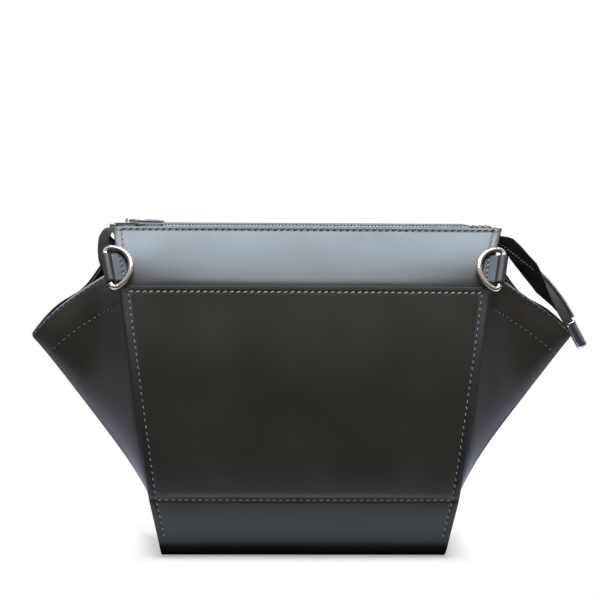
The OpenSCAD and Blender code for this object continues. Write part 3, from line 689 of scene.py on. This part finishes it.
def wing_spot(sx, side, u, s, off):
    """u runs from 0 at the panel to 1 at the wing's fold."""
    d, z, nd, nz = at(s)
    v = min(1.0, max(0.0, (z - BASE_H) / (RIM_H - BASE_H)))
    depth = -stack(side, z) - off
    seam_x = half_width(z) - EDGE_SET - off * mix(1, 0.35, v)
    seam_y, seam_z = d + depth * nd, z + depth * nz
    fold_z = seam_z - RIM_DROP * v * v
    r = FOLD_R + FOLD_SOFT * (1 - v) ** 0.5 * smooth(v * 4) - off
    power = mix(2, 1, smooth(v))
    hollow = mix(0.5, NEAR_HOLLOW if side < 0 else FAR_HOLLOW, v * v)
    if sx < 0:
        bow = LEFT_BOW * v ** 6 * u ** 0.55 * (1 - u ** 7)
    else:
        bow = v ** 6 * (RIM_BOW * u * (1 - u ** 7) + TIP_LIFT * u ** 6)
    if side > 0:
        bow += FAR_LIFT * v ** 6 * math.sin(math.pi * u / FAR_SHARE) * (1 - u) ** 2
    return (sx * (mix(seam_x, fold_x(fold_z) - off, u) + FLARE * u ** 8 * v ** 8),
            side * (r * math.sqrt(max(0, 1 - u ** 6))
                    + (seam_y - r) * max(0, 1 - u ** power) ** hollow),
            mix(seam_z, fold_z, u) + bow)


def flange_spot(sx, side, s, off, share):
    """Seam allowance behind the panel: share 0 at the fold, 1 at its cut edge."""
    d, z, nd, nz = at(s)
    x = half_width(z) - EDGE_SET - FLANGE * share
    depth = -stack(side, z) - off
    return (sx * x, side * (d + swell(x / half_width(z), z) + depth * nd), z + depth * nz)


spread = [math.sin(math.pi / 2 * c / WING_STEPS) for c in range(WING_STEPS + 1)]
across = [(-1, u) for u in spread] + [(1, u) for u in reversed(spread[:-1])]
print("a wing has", len(across), "columns from panel to panel")


# %% Gussets and what lies inside them
def wing_layer(name, sx, low_s, high_s, off, thick, face, edge_face, gusset=False, edge=0.5,
               step=2.6):
    """The gusset has a flap at both panels and is sewn through along its rim."""
    tall = high_s - low_s
    rows, flaps = stations(tall, step, edge), []
    if gusset:
        rows, flaps = closer(rows, tall - RIM_SEAM + 0.8), [1.0, 0.97, 0.6, 0.2]
    count = len(across) + 2 * len(flaps)

    def point(i, j, depth):
        s = low_s + rows[i]
        if j < len(flaps):
            return flange_spot(sx, -1, s, off + depth, flaps[j])
        if j >= count - len(flaps):
            return flange_spot(sx, 1, s, off + depth, flaps[count - 1 - j])
        side, u = across[j - len(flaps)]
        if gusset and depth < thick / 2:
            rim_d = high_s - s
            seams = (groove(rim_d - RIM_SEAM, 0.22, 0.8)
                     + groove(rim_d - LOW_SEAM - LOW_FALL * u * u, 0.22, 0.8))
            depth += seams * (1 - u ** 12) + RIM_PINCH * max(0.0, 1 - rim_d / RIM_SEAM) ** 2
        return wing_spot(sx, side, u, s, off + depth)

    columns = np.linspace(0, ACROSS_FLAT, count)
    return sheet(name, rows, columns, point, thick, face, edge_face, edge=edge)


S_WALL, GUSSET_LOW, INSIDE = s_of(9.5), 36.5, GUSSET + GAP
wing_leather = leather("wing_leather", OLIVE_BROWN, rim_at=S_RIM - GUSSET_LOW)
for sx, word in ENDS:
    gusset = wing_layer("gusset_leather_" + word, sx, GUSSET_LOW, S_RIM, 0.0, GUSSET,
                        wing_leather, edge_paint, gusset=True, step=1.7)
    settle(gusset, "bag", "body_leather", "gusset_" + word)
    facing = wing_layer("facing_" + word, sx, S_RIM - 31.0, S_RIM - 0.4, INSIDE, FACING,
                        facing_leather_painted_light, edge_paint, edge=0.3)
    settle(facing, "bag", "edge_leather", "rim_facing_" + word)
    lining = wing_layer("lining_cloth_" + word, sx, S_WALL, S_RIM - 32.0, INSIDE, LINING,
                        lining_cloth, lining_cloth, edge=0.3, step=5.0)
    settle(lining, "bag", "lining", "lining_" + word)
    print(word, "wing:", len(gusset.data.polygons), "faces in the leather")

# %% [markdown]
# ## Lining and base board
# Cloth lines the rear wall, the base and the front wall in one strip, over a board
# that keeps the base flat. They are seen only through the mouths of the wings, so
# they follow the same curve without stitches.

# %% Lining and board
S_LINING, LINING_W = s_of(185.0), 2 * half_width(MOUTH_H)
lining_a, lining_b = stations(2 * S_LINING, 5.0, 0.3), stations(LINING_W, 9.0, 0.3)


def lining_point(i, j, depth):
    side, s = fold_back(lining_a[i] - S_LINING)
    d, z, nd, nz = at(s)
    w = half_width(z)
    x = (2 * lining_b[j] / LINING_W - 1) * (w - EDGE_SET - FLANGE - 1)
    off = -stack(side, z) - INSIDE - depth
    return (x, side * (d + swell(x / w, z) + off * nd), z + off * nz)


body_lining = sheet("lining_cloth_body", lining_a, lining_b, lining_point, LINING,
                    lining_cloth, lining_cloth, edge=0.3)
settle(body_lining, "bag", "lining", "lining_body")
nodes["base_board"].data.materials.clear()
nodes["base_board"].data.materials.append(fibre_board)
print("lining:", len(body_lining.data.polygons), "faces")

# %% [markdown]
# ## Stitches
# A lockstitch shows as short slanted threads with a needle hole at each end. Each
# stitch here is a small closed thread with bulging middle and sunk ends, set along
# a path by its pitch. One mesh for each seam keeps the scene light.

# %% Stitch maker
STITCH_RINGS, STITCH_SIDES, HOLE_SIDES = 7, 7, 8
# Height and radius of a needle hole at its bottom and at its mouth. The hole is a near-black
# cup, painted shade
HOLE = ((-0.3, 0.46), (0.05, 0.54))


def seam(name, path, normals, material, pitch=4.0, long=2.9, thick=0.62, slant=16.0,
         lift=0.02, holes=True):
    """Stitches along a path of points in mm, with the leather's normal at each."""
    run = run_of(path)
    count = max(1, int(round(run[-1] / pitch)))
    cos, sin = math.cos(math.radians(slant)), math.sin(math.radians(slant))
    parts, uvs, picks = [], [], []
    for k in range(count):
        s = (k + 0.5) * run[-1] / count
        p, n = along(s, run, path), unit(along(s, run, normals))
        t = unit(along(min(run[-1], s + 0.5), run, path) - along(max(0, s - 0.5), run, path))
        w = unit(np.cross(n, t))
        t, w = t * cos + w * sin, w * cos - t * sin
        rings = []
        for q in np.linspace(-1, 1, STITCH_RINGS):
            fat = thick / 2 * math.sqrt(max(0.04, 1 - q ** 4))
            high = lift + 0.22 * thick - 0.75 * thick * abs(q) ** 3
            centre = p + t * q * long / 2 + n * high
            rings.append([centre + fat * (w * x + 0.8 * n * y)
                          for x, y in circle(STITCH_SIDES)])
            uvs += [(q * long / 2, c / STITCH_SIDES * 2) for c in range(STITCH_SIDES)]
        parts.append(loft(rings))
        picks += [0] * len(parts[-1][1])
        for q in (-1, 1) if holes else ():
            centre = p + t * q * (long / 2 + 0.2)
            parts.append(loft([[centre + r * (1.1 * t * x + 0.95 * w * y) + n * height
                                for x, y in circle(HOLE_SIDES)] for height, r in HOLE]))
            uvs += [(0, 0)] * 2 * HOLE_SIDES
            picks += [1] * len(parts[-1][1])
    return build(name, *joined(parts), [material, needle_hole_shade], picks, uvs)


def sew(name, spot, params, off, material, **look):
    """A seam along spot(param, off), whose normal is the way in which off grows."""
    points = [np.array(spot(q, off)) for q in params]
    normals = [unit(np.array(spot(q, off + 1.0)) - p) for q, p in zip(params, points)]
    settle(seam(name, points, normals, material, **look), "bag", "body_leather")


print("a stitch has", STITCH_RINGS * STITCH_SIDES, "points")

# %% Seams of the panels
FACE, BEHIND = GAP / 2 + LEATHER, -GAP / 2
S_POCKET, S_TOP, S_LOW = S_LIP - POCKET_SEAM, TOP_S - TOP_SEAM, s_of(12.0)


def panel_seam(name, side, places, off, material=pale_thread, pocket=False, **look):
    """Stitches at places that give a share of the half width and mm up the curve."""
    def spot(place, off):
        u, s = place
        more = puff(u, s) if pocket else band_crown(u, at(s)[1]) if side < 0 else 0.0
        return panel_spot(side, u, s, off + more)

    sew("stitch_" + name, spot, places, off, material, **look)


# Painted shade: the top rows use the near-black thread
top_look = {"material": shaded_top_thread, "thick": 0.85, "long": 2.9}
for name, side, s, height, off, look in (
        ("pocket_mouth", -1, S_POCKET, MOUTH_H, FACE - 0.3,
         {"pocket": True, "thick": 0.82, "long": 3.1}),
        ("pocket_bottom", -1, S_SEAM, SEAM_H, FACE - 0.4,
         {"pocket": True, "thick": 0.62, "long": 2.8}),
        ("top_rear", -1, S_TOP, PANEL_H, BEHIND - 0.3, top_look),
        ("top_front", 1, S_TOP, PANEL_H, FACE - 0.3, top_look)):
    reach = (half_width(height) - SIDE_SEAM - 0.2) / half_width(at(s)[1])
    panel_seam(name, side, [(k * reach, s) for k in np.linspace(-1, 1, 60)], off, **look)

for sx, word in ENDS:
    for name, side, low, high, count, off, long in (
            ("pocket_", -1, S_LOW, S_POCKET, 60, FACE - 0.28, 2.4),
            ("band_", -1, S_MOUTH + 3, S_TOP - 1, 30, BEHIND - 0.28, 2.2),
            ("front_", 1, S_LOW, S_TOP - 1, 90, FACE - 0.28, 2.4)):
        places = [(sx * (1 - SIDE_SEAM / half_width(at(s)[1])), s)
                  for s in np.linspace(low, high, count)]
        panel_seam(name + word, side, places, off, pocket=name == "pocket_", thick=0.55,
                   long=long)
print("panel seams are sewn")

# %% Seams of the rims
for sx, word in ENDS:
    for side, wall in WALLS:
        for row, drop, fall, off in (("upper", RIM_SEAM, 0, -0.2),
                                     ("lower", LOW_SEAM, LOW_FALL, -0.1)):
            def spot(u, off):
                return wing_spot(sx, side, u, S_RIM - drop - fall * u * u, -off)

            sew(f"stitch_rim_{row}_{wall}_{word}", spot, np.linspace(0.04, 0.985, 40), off,
                grey_thread, thick=0.5, long=2.5, slant=-14 * sx * side)
print("rim seams are sewn")

# %% [markdown]
# ## The zip
# A coil zip is two tapes with a nylon spiral sewn along each inner edge. The tape
# turns down under the leather, and at the closed end both tapes bend down over the
# wing's mouth. The spiral is wound from its real curve, a flattened helix, because
# its bumps show along the top edge of the bag.

# %% Zip tapes
TAPE_H, TAPE_T, TAPE_W, CHAIN_GAP = PANEL_H - 1.5, 0.8, 12.5, 0.8
ZIP_LEFT, ZIP_RIGHT = 117.0, 104.0
left_turn = np.array(spline([(0, 0), (-4.5, -1.2), (-7.6, -6), (-8.5, -13), (-8.0, -20),
                             (-6.2, -25.5)], 8))
# Lean and width of the tapes where they hang, and the steps in which they reach them
TURN_LEAN, TURN_W, TURN_EASE = 62.0, 14.0, 9


def kink_y(side):
    """Where the tape bends from level to lie against the leaning leather."""
    face = GAP / 2 + GAP + (REAR if side < 0 else 0)
    z = PANEL_H - math.sin(BAND_LEAN) * face
    return TOP_GAP / 2 - math.cos(BAND_LEAN) * face + math.tan(BAND_LEAN) * (z - TAPE_H)


def tape_rows(side):
    """Frames along a tape: coil edge, inward direction, two angles, two widths."""
    flat = kink_y(side) - CHAIN_GAP
    slope = 90 - math.degrees(BAND_LEAN)
    rows = [((x, TAPE_H), (0, -1), (0, slope), (flat, TAPE_W - flat))
            for x in np.linspace(ZIP_RIGHT, 4 - ZIP_LEFT, 40)]
    for k, (c, d) in enumerate(zip(left_turn, headings(left_turn))):
        q = smooth(k / TURN_EASE)
        rows.append(((c[0] - ZIP_LEFT, c[1] + TAPE_H), (-d[1], d[0]),
                     (mix(0, TURN_LEAN, q), mix(slope, TURN_LEAN + 6, q)),
                     (mix(flat, TURN_W / 2, q), mix(flat / 2, TURN_W / 2, q))))
    return rows


# Places across a tape: 0 is the coil edge, 1 the bend and 2 the outer edge
TAPE_SHARES = [0, 0.02, 0.08, 0.25, 0.45, 0.65, 0.85, 1.0, 1.1, 1.25, 1.5, 1.75, 1.92, 1.98,
               2.0]
for side, word in WALLS:
    rows = tape_rows(side)

    def point(i, j, depth):
        (cx, cz), (ix, iz), angles, (w0, w1) = rows[i]
        q = TAPE_SHARES[j]
        a0, a1 = np.radians(angles)
        first, second = w0 * min(q, 1), w1 * max(q - 1, 0)
        ang = a1 if q > 1 else a0 if q < 0.98 else (a0 + a1) / 2
        y = first * math.cos(a0) + second * math.cos(a1) - depth * math.sin(ang)
        n = first * math.sin(a0) + second * math.sin(a1) + depth * math.cos(ang)
        return (cx + ix * n, side * (CHAIN_GAP + y), cz + iz * n)

    tape = sheet("tape_" + word, run_of([row[0] for row in rows]),
                 np.array(TAPE_SHARES) * TAPE_W / 2, point, TAPE_T, tape_cloth, tape_cloth,
                 edge=0.3)
    settle(tape, "bag", "zip_tape", "zip_tape_" + word)
print("tapes turn down at the left end")

# %% Zip coil
PITCH, WIRE, WIRE_R, TOOTH = 2.1, 1.5, 0.38, 2.7
TEETH = int((ZIP_LEFT + ZIP_RIGHT - 4) // PITCH)
# One turn of the wire: share of the pitch, share of the tooth, height in mm. It runs
# out over the tape, round its end and back underneath
TURN = [(0.0, 0.25, 0.0), (0.12, 0.8, 0.36), (0.3, 1.0, 0.0), (0.5, 0.85, -0.3),
        (0.7, 0.2, -0.3), (0.85, 0.02, 0.0)]
for side, word in WALLS:
    points = [(-ZIP_LEFT + 2 + (k + share) * PITCH,
               side * (CHAIN_GAP + WIRE_R + (TOOTH - 2 * WIRE_R) * out),
               TAPE_H + 0.05 + WIRE / 2 + high)
              for k in range(TEETH) for share, out, high in TURN]
    spiral = build("coil_" + word, *tube(points, WIRE_R, 6), [coil_nylon])
    settle(spiral, "bag", "zip_coil", "zip_coil_" + word)
print("coil turns:", TEETH, "on each side")

# %% [markdown]
# ## The tail
# Beyond the panels the zip hangs free over the right wing. Its two tapes fold
# together and twist, so the rear half swings from above the coil to below it and
# shows its woven face near the end. A metal cap holds the end.

# %% The tail's route
tail_shape = [(0, 0.026), (0.128, 0.085), (0.256, 0.197), (0.4, 0.301), (0.544, 0.4),
              (0.688, 0.526), (0.816, 0.684), (0.92, 0.846), (1, 1)]
TAIL_GAP, TAIL_PAST, TAIL_CLEAR, TAIL_SPLIT, FRAY = 0.6, 2.6, 6.2, 0.8, 0.22
CAP_L, CAP_W, CAP_T, CAP_TIP, CAP_WALL = 17.5, 7.0, 5.4, 2.4, 0.7
TAIL_X = ZIP_RIGHT + TAIL_GAP
TAIL_REACH = WING_SPAN / 2 + TAIL_PAST - TAIL_X
TAIL_FALL = TAPE_H - TIP_H - TAIL_CLEAR
tail_line = np.array(spline([(x * TAIL_REACH, -y * TAIL_FALL) for x, y in tail_shape], 12))
tail_line += np.array([TAIL_X, TAPE_H])
tail_way, tail_run = headings(tail_line), run_of(tail_line)
TAIL_L = tail_run[-1]
# The angle and the width of each half, against the share of the tail's length
CAP_FILL = (CAP_W - 2 * CAP_WALL) / TAPE_W
TAIL_TURN = {
    -1: ([0, 0.08, 0.12, 0.16, 0.2, 0.25, 0.32, 0.4, 0.48, 0.56, 0.64, 0.72, 0.8, 0.9, 1],
         [14, 25, 32, 46, 61, 65, 55, 38, 27, 6, -13, -27, -40, -60, -86]),
    1: ([0, 0.24, 0.32, 0.4, 0.48, 0.56, 0.64, 1], [-8, -8, -13, -37, -58, -74, -82, -86])}
TAIL_WIDE = {
    -1: ([0, 0.08, 0.16, 0.24, 0.4, 0.6, 0.72, 0.85, 1],
         [0.4, 0.48, 0.66, 0.8, 0.8, 0.77, 0.74, 0.62, CAP_FILL]),
    1: ([0, 0.24, 0.4, 0.48, 0.56, 0.64, 0.72, 0.8, 0.88, 1],
        [0.32, 0.44, 0.56, 0.62, 0.68, 0.74, 0.66, 0.54, 0.45, CAP_FILL])}


def tail_frame(s):
    """Point, direction and upward direction at s mm along the tail."""
    d = unit(along(s, tail_run, tail_way))
    return along(s, tail_run, tail_line), d, np.array([-d[1], d[0]])


def tail_spot(s, side, width_share, more, depth):
    """A place on one half: share of its width from the coil edge, and mm beyond it."""
    c, _, up = tail_frame(s)
    ang = math.radians(np.interp(s / TAIL_L, *TAIL_TURN[side]))
    out = width_share * TAPE_W * np.interp(s / TAIL_L, *TAIL_WIDE[side]) + more
    x, z = c + up * (out * math.sin(ang) - depth * math.cos(ang))
    return (x, side * (TAIL_SPLIT + out * math.cos(ang) + depth * math.sin(ang)), z)


print("tail:", round(float(TAIL_L), 1), "mm long")

# %% Tail cloth, coil and stitches
TAIL_SHARES = [0, 0.02, 0.08, 0.2, 0.35, 0.5, 0.65, 0.8, 0.92, 0.98, 1.0]
places = stations(TAIL_L, 0.7, 0.3)
for side, word in WALLS:
    def point(i, j, depth):
        """The cloth starts under the coil, and its free edge is a fine saw-tooth."""
        s, f = places[i], TAIL_SHARES[j]
        fray = FRAY * math.sin(FULL_TURN * s / 1.4) * (f > 0.9) * smooth((TAIL_L - s) / 4)
        return tail_spot(s, side, f, fray, depth)

    # Painted shade: the cloth's underside takes the darker copy of the tape cloth
    tape = sheet("tail_cloth_" + word, places, np.array(TAIL_SHARES) * 10, point, TAPE_T,
                 tape_cloth, tape_cloth, edge=0.3, back=shaded_tape_cloth)
    settle(tape, "tail", "zip_tape", "tail_tape_" + word)

# The closed coil sits astride the two cloth edges, one bump for each turn
COIL_END, BUMP, BUMP_SIDE, BUMP_LEAN = TAIL_L * 0.955, 0.95, 1.05, 0.4
coil = []
for s in np.arange(0.8, COIL_END, PITCH * 0.6):
    c, d, up = tail_frame(s)
    loop = []
    for turn in math.pi * np.linspace(-0.75, 0.75, 11):
        x, z = c + up * BUMP * (1 + math.cos(turn)) + d * BUMP_LEAN * math.sin(turn)
        loop.append((x, BUMP_SIDE * math.sin(turn), z))
    coil.append(tube(loop, 0.36, 6))
core = [c + up * 0.55 for c, _, up in map(tail_frame, np.arange(0.6, COIL_END, 1.0))]
coil.append(tube([(x, 0.0, z) for x, z in core], 0.78, 8))
spiral = build("tail_spiral", *joined(coil), [tail_nylon])
settle(spiral, "tail", "zip_coil", "tail_coil")

# White stitches hold the coil to the rear cloth and show on its underside
places = np.linspace(0.5, TAIL_L * 0.5, 30)
path, past = ([np.array(tail_spot(s, -1, 0, 2.3, depth)) for s in places]
              for depth in (TAPE_T, TAPE_T + 1))
coil_stitches = seam("stitch_tail_coil", path, [b - a for a, b in zip(path, past)],
                     white_thread, pitch=PITCH, long=1.5, thick=0.6, slant=24, lift=0.08,
                     holes=False)
settle(coil_stitches, "tail", "zip_tape")
print("the tail's coil has", len(coil) - 1, "turns")

# %% [markdown]
# The cap is a short metal channel that is pressed over the tail's end. Its face is
# rounded from side to side and its mouth has a rolled lip, so it shows one bright
# line along its length. A loft of rounded outlines gives both.

# %% End cap
SLOT_DEPTH, CAP_SET, CAP_ABOVE, LIP = 3.0, 0.5, 1.2, 0.12


def cap_ring(x, shrink, grow=0.0):
    """A rounded outline across the cap, x mm from its mouth."""
    c, d, up = tail_frame(TAIL_L)
    centre = c + d * (x - SLOT_DEPTH + CAP_SET) + up * (CAP_ABOVE - CAP_W / 2)
    high = CAP_W / 2 - shrink + grow
    wide = CAP_T / 2 * (1 - 0.5 * shrink / CAP_TIP) + grow
    ring = []
    for cs, sn in circle(28):
        px, pz = centre + up * math.copysign(abs(cs) ** 0.72, cs) * high
        ring.append((px, math.copysign(abs(sn) ** 0.8, sn) * wide, pz))
    return ring


rings = [cap_ring(0.0, 0.5), cap_ring(0.0, LIP), cap_ring(0.25, 0.0, LIP),
         cap_ring(0.9, 0.0, LIP), cap_ring(1.2, 0.0), cap_ring(1.5, LIP)]
rings += [cap_ring(x, LIP) for x in np.linspace(2.5, CAP_L - CAP_TIP, 8)]
rings += [cap_ring(CAP_L - CAP_TIP + CAP_TIP * math.sin(q), CAP_TIP * (1 - math.cos(q)) + LIP)
          for q in np.linspace(0.2, 1.45, 7)]
cap = build("end_cap", *loft(rings), [cap_metal])
settle(cap, "tail", "metal", "tail_end_cap")
print("end cap:", len(cap.data.polygons), "faces")

# %% [markdown]
# ## Tabs and rings
# A leather tab is folded round the bar of each D-ring and sewn down on the band.
# The strip follows its own centre line: along the underside, round the bar and back
# on top, with the free end cut to fit inside the ring.

# %% Ring tabs
RING_H, BAR_OUT, RING_WIRE, TAB_T, TAB_W = 171.4, 5.6, 3.2, 1.4, 20.0
TILT = math.atan((TOP_W - MOUTH_W) / 2 / BAND * math.cos(BAND_LEAN))
BAR_H, BORE_GAP, BOW_R, BOW_X = RING_WIRE / 2 + GAP + 0.2, 0.1, 14.655, -0.555
TAB_REACH, TAB_STEP, TAB_SEAM = 11.2, 0.9, 8.4


def band_spot(sx, x, y, z):
    """From a ring's own frame, with x towards the middle of the band, to the bag's."""
    c, s = math.cos(TILT), math.sin(TILT)
    x, y = x * c - y * s - half_width(RING_H) - BAR_OUT, x * s + y * c
    z += BAR_H - GAP / 2
    band_d = TOP_GAP / 2 + (PANEL_H - RING_H) * BAND_SLOPE
    return (-sx * x, -band_d + y * math.sin(BAND_LEAN) - z * math.cos(BAND_LEAN),
            RING_H + y * math.cos(BAND_LEAN) + z * math.sin(BAND_LEAN))


def tab_line():
    """Centre line of the folded strip, seen along the ring's bar."""
    turn_r = RING_WIRE / 2 + BORE_GAP + TAB_T / 2
    floor_z = -(RING_WIRE / 2 + GAP) + TAB_T / 2
    top_z = floor_z + TAB_T
    path = [(TAB_REACH - k * TAB_STEP, floor_z) for k in range(11)]
    path += [(turn_r * math.cos(t), turn_r * math.sin(t))
             for t in np.radians(np.linspace(300, 22, 24))]
    path += [(2.7, 0.5), (3.3, 0.26)] + [(4.0 + k * TAB_STEP, top_z) for k in range(9)]
    return np.array(path), top_z


path, top_z = tab_line()
path_run = run_of(path)
rows, cols = stations(path_run[-1], 0.6), stations(TAB_W, 1.2)
line = along(rows, path_run, path).T
ways = headings(line)
for sx, word in ENDS:
    def point(i, j, depth):
        (x, z), (tx, tz) = line[i], ways[i]
        y, h = cols[j] - TAB_W / 2, depth - TAB_T / 2
        limit = BOW_X + math.sqrt(max(1.0, (BOW_R - RING_WIRE / 2 - 0.5) ** 2 - y * y))
        x = min(x, limit) if x > 4 else x
        return band_spot(sx, x - tz * h, y, z + tx * h)

    tab = sheet("tab_" + word, rows, cols, point, TAB_T, shaded_tab_leather, edge_paint)
    settle(tab, "bag", "edge_leather", "ring_tab_" + word)
    points = [band_spot(sx, TAB_SEAM, y, top_z + TAB_T / 2)
              for y in np.linspace(-7.5, 7.5, 12)]
    up = np.array(band_spot(sx, 0, 0, 1)) - np.array(band_spot(sx, 0, 0, 0))
    stitches = seam("stitch_tab_" + word, points, [up] * len(points), pale_thread, thick=0.5,
                    long=2.5)
    settle(stitches, "bag", "edge_leather")
print("tabs hold the rings")

# %% Metal pieces
for name, material, bevel in (("d_ring_left", nickel, 0), ("d_ring_right", nickel, 0),
                              ("zip_slider", satin_nickel, 0.4),
                              ("zip_pull", satin_nickel, 0.5),
                              ("zip_top_stops", satin_nickel, 0.35)):
    node = nodes[name]
    node.data.materials.clear()
    node.data.materials.append(material)
    if bevel:
        rounding = node.modifiers.new("soft_edges", "BEVEL")
        rounding.width, rounding.segments = bevel * MM, 3
        rounding.limit_method, rounding.angle_limit = "ANGLE", math.radians(40)
    for poly in node.data.polygons:
        poly.use_smooth = True
    node.modifiers.new("normals", "WEIGHTED_NORMAL")
print("metal pieces keep their CAD shapes")

# %% [markdown]
# ## Studio
# Smooth dark leather only looks right in the room that it mirrors. A large soft
# lamp hangs over the bag and a little in front, white paper stands behind it, and
# the sides and the part behind the camera are darker. The floor is white, and what
# the camera sees beyond the bag is plain white.

# %% Floor
def floor_finish():
    """White paper. The camera sees it fade to plain white a hand's width from the bag.
    In the leather's reflections the paper is painted: a brighter, bluer pool of light that
    ends a hand's width out, and painted shadow close round the bag."""
    f = Finish("studio_floor")
    x, y, _ = f.axes()
    away_x, away_y = x.size() - BASE_W / 2 * MM, y.size() - BASE_DEPTH / 2 * MM
    away = away_x.math("MAXIMUM", away_y)
    pool_edge = away_y.range(0.05, 0.095, 1.0, 0.03).math(
        "MINIMUM", away_x.range(0.05, 0.3, 1.0, 0.4))
    rays = f.add("ShaderNodeLightPath")
    matt, cool, dark = (
        f.add("ShaderNodeBsdfDiffuse", None, {"Color": colour})
        for colour in ((0.54, 0.53, 0.53), (0.84, 0.84, 0.97), (0.01, 0.01, 0.01)))
    glow = f.add("ShaderNodeEmission", None, {"Color": (1, 1, 1), "Strength": 1.0})
    # Painted shadow close to the bag and a painted pool of light, seen only in reflections
    mirror_look = f.blend(away.range(0.008, 0.03) * pool_edge, dark, cool)
    paper = f.blend(rays.out("Is Glossy Ray"), matt, mirror_look)
    behind = y.range(-0.03, 0.035, 0.0, 0.93)
    fade = away.range(0.0, 0.018, 0.4, 1.0).math("MAXIMUM", behind)
    floor = f.blend(fade * rays.out("Is Camera Ray"), paper, glow)
    f.add("ShaderNodeOutputMaterial", None, {"Surface": floor})
    return f.owner


bpy.ops.mesh.primitive_circle_add(vertices=96, radius=6.0, fill_type="NGON",
                                  location=(0, 0, 0))
floor = bpy.context.object
floor.name = "floor"
floor.data.materials.append(floor_finish())
print("floor:", floor.name)

# %% Light
LAMP_AT, LAMP_AIM = Vector((0, -0.17, 1.55)), Vector((0, 0, 0.15))
LAMP_SIZE, LAMP_POWER, LAMP_COLOUR = (1.2, 0.78), 38, (0.86, 1.0, 1.17)
data = bpy.data.lights.new("overhead", "AREA")
data.shape = "RECTANGLE"
data.size, data.size_y = LAMP_SIZE
data.energy, data.color = LAMP_POWER, LAMP_COLOUR
lamp = bpy.data.objects.new("overhead", data)
bpy.context.scene.collection.objects.link(lamp)
lamp.location = LAMP_AT
lamp.rotation_mode = "QUATERNION"
lamp.rotation_quaternion = (LAMP_AIM - LAMP_AT).to_track_quat("-Z", "Y")


def studio_world():
    world = bpy.data.worlds.new("studio")
    f = Finish("studio", world)
    x, y, z = f.axes("Generated")
    wide = x.size()
    sides = (wide.range(0.0, 0.3, 0.0, 0.3) * wide.range(0.4, 0.8, 1.0, 0.3)
             * z.range(-0.1, 0.2))
    ceiling, front = z.range(0.05, 0.7, 0.0, 0.22), y.range(-0.6, 0.1, 0.04, 0.12)
    off, wall, paper, white = (
        f.add("ShaderNodeBackground", None, {"Color": colour, "Strength": strength})
        for colour, strength in (((0, 0, 0), 0.0), ((1, 0.99, 0.97), 1.0),
                                 ((0.84, 0.93, 1.06), 1.0), ((1, 1, 1), 1.0)))
    room = f.blend(front + sides + ceiling, off, wall)
    room = f.blend(y.range(0.0, 0.55), room, paper)
    sky = f.blend(f.add("ShaderNodeLightPath").out("Is Camera Ray"), room, white)
    f.add("ShaderNodeOutputWorld", None, {"Surface": sky})
    return world


bpy.context.scene.world = studio_world()
print("one lamp, a room and a floor")

# %% [markdown]
# ## Camera
# The photograph was taken from a little above, with a long lens. The numbers come
# from setting the corners of the panels, the pocket and the wings against their
# places in the picture.

# %% Camera
DISTANCE, ELEVATION, YAW, ROLL, FOCUS_PX = 1.6, 6.5, -2.05, 0.48, 2617.3
AIM = Vector((-0.001957, 0.0, 0.150893))
SENSOR_MM, IMAGE_PX = 36.0, 600


def photo_camera():
    data = bpy.data.cameras.new("camera")
    data.sensor_width = SENSOR_MM
    data.lens = SENSOR_MM * FOCUS_PX / IMAGE_PX
    data.clip_start, data.clip_end = 0.05, 50
    camera = bpy.data.objects.new("camera", data)
    bpy.context.scene.collection.objects.link(camera)
    e, y, r = (math.radians(v) for v in (ELEVATION, YAW, ROLL))
    back = Vector((math.sin(y) * math.cos(e), -math.cos(y) * math.cos(e), math.sin(e)))
    right = (-back).cross(Vector((0, 0, 1))).normalized()
    up = right.cross(-back)
    level = right * math.cos(r) + up * math.sin(r)
    above = up * math.cos(r) - right * math.sin(r)
    turn = Matrix((level, above, back)).transposed()
    camera.matrix_world = Matrix.Translation(AIM + back * DISTANCE) @ turn.to_4x4()
    return camera


scene = bpy.context.scene
scene.camera = photo_camera()
scene.view_settings.view_transform = "Standard"
print("camera at", [round(c, 3) for c in scene.camera.location])
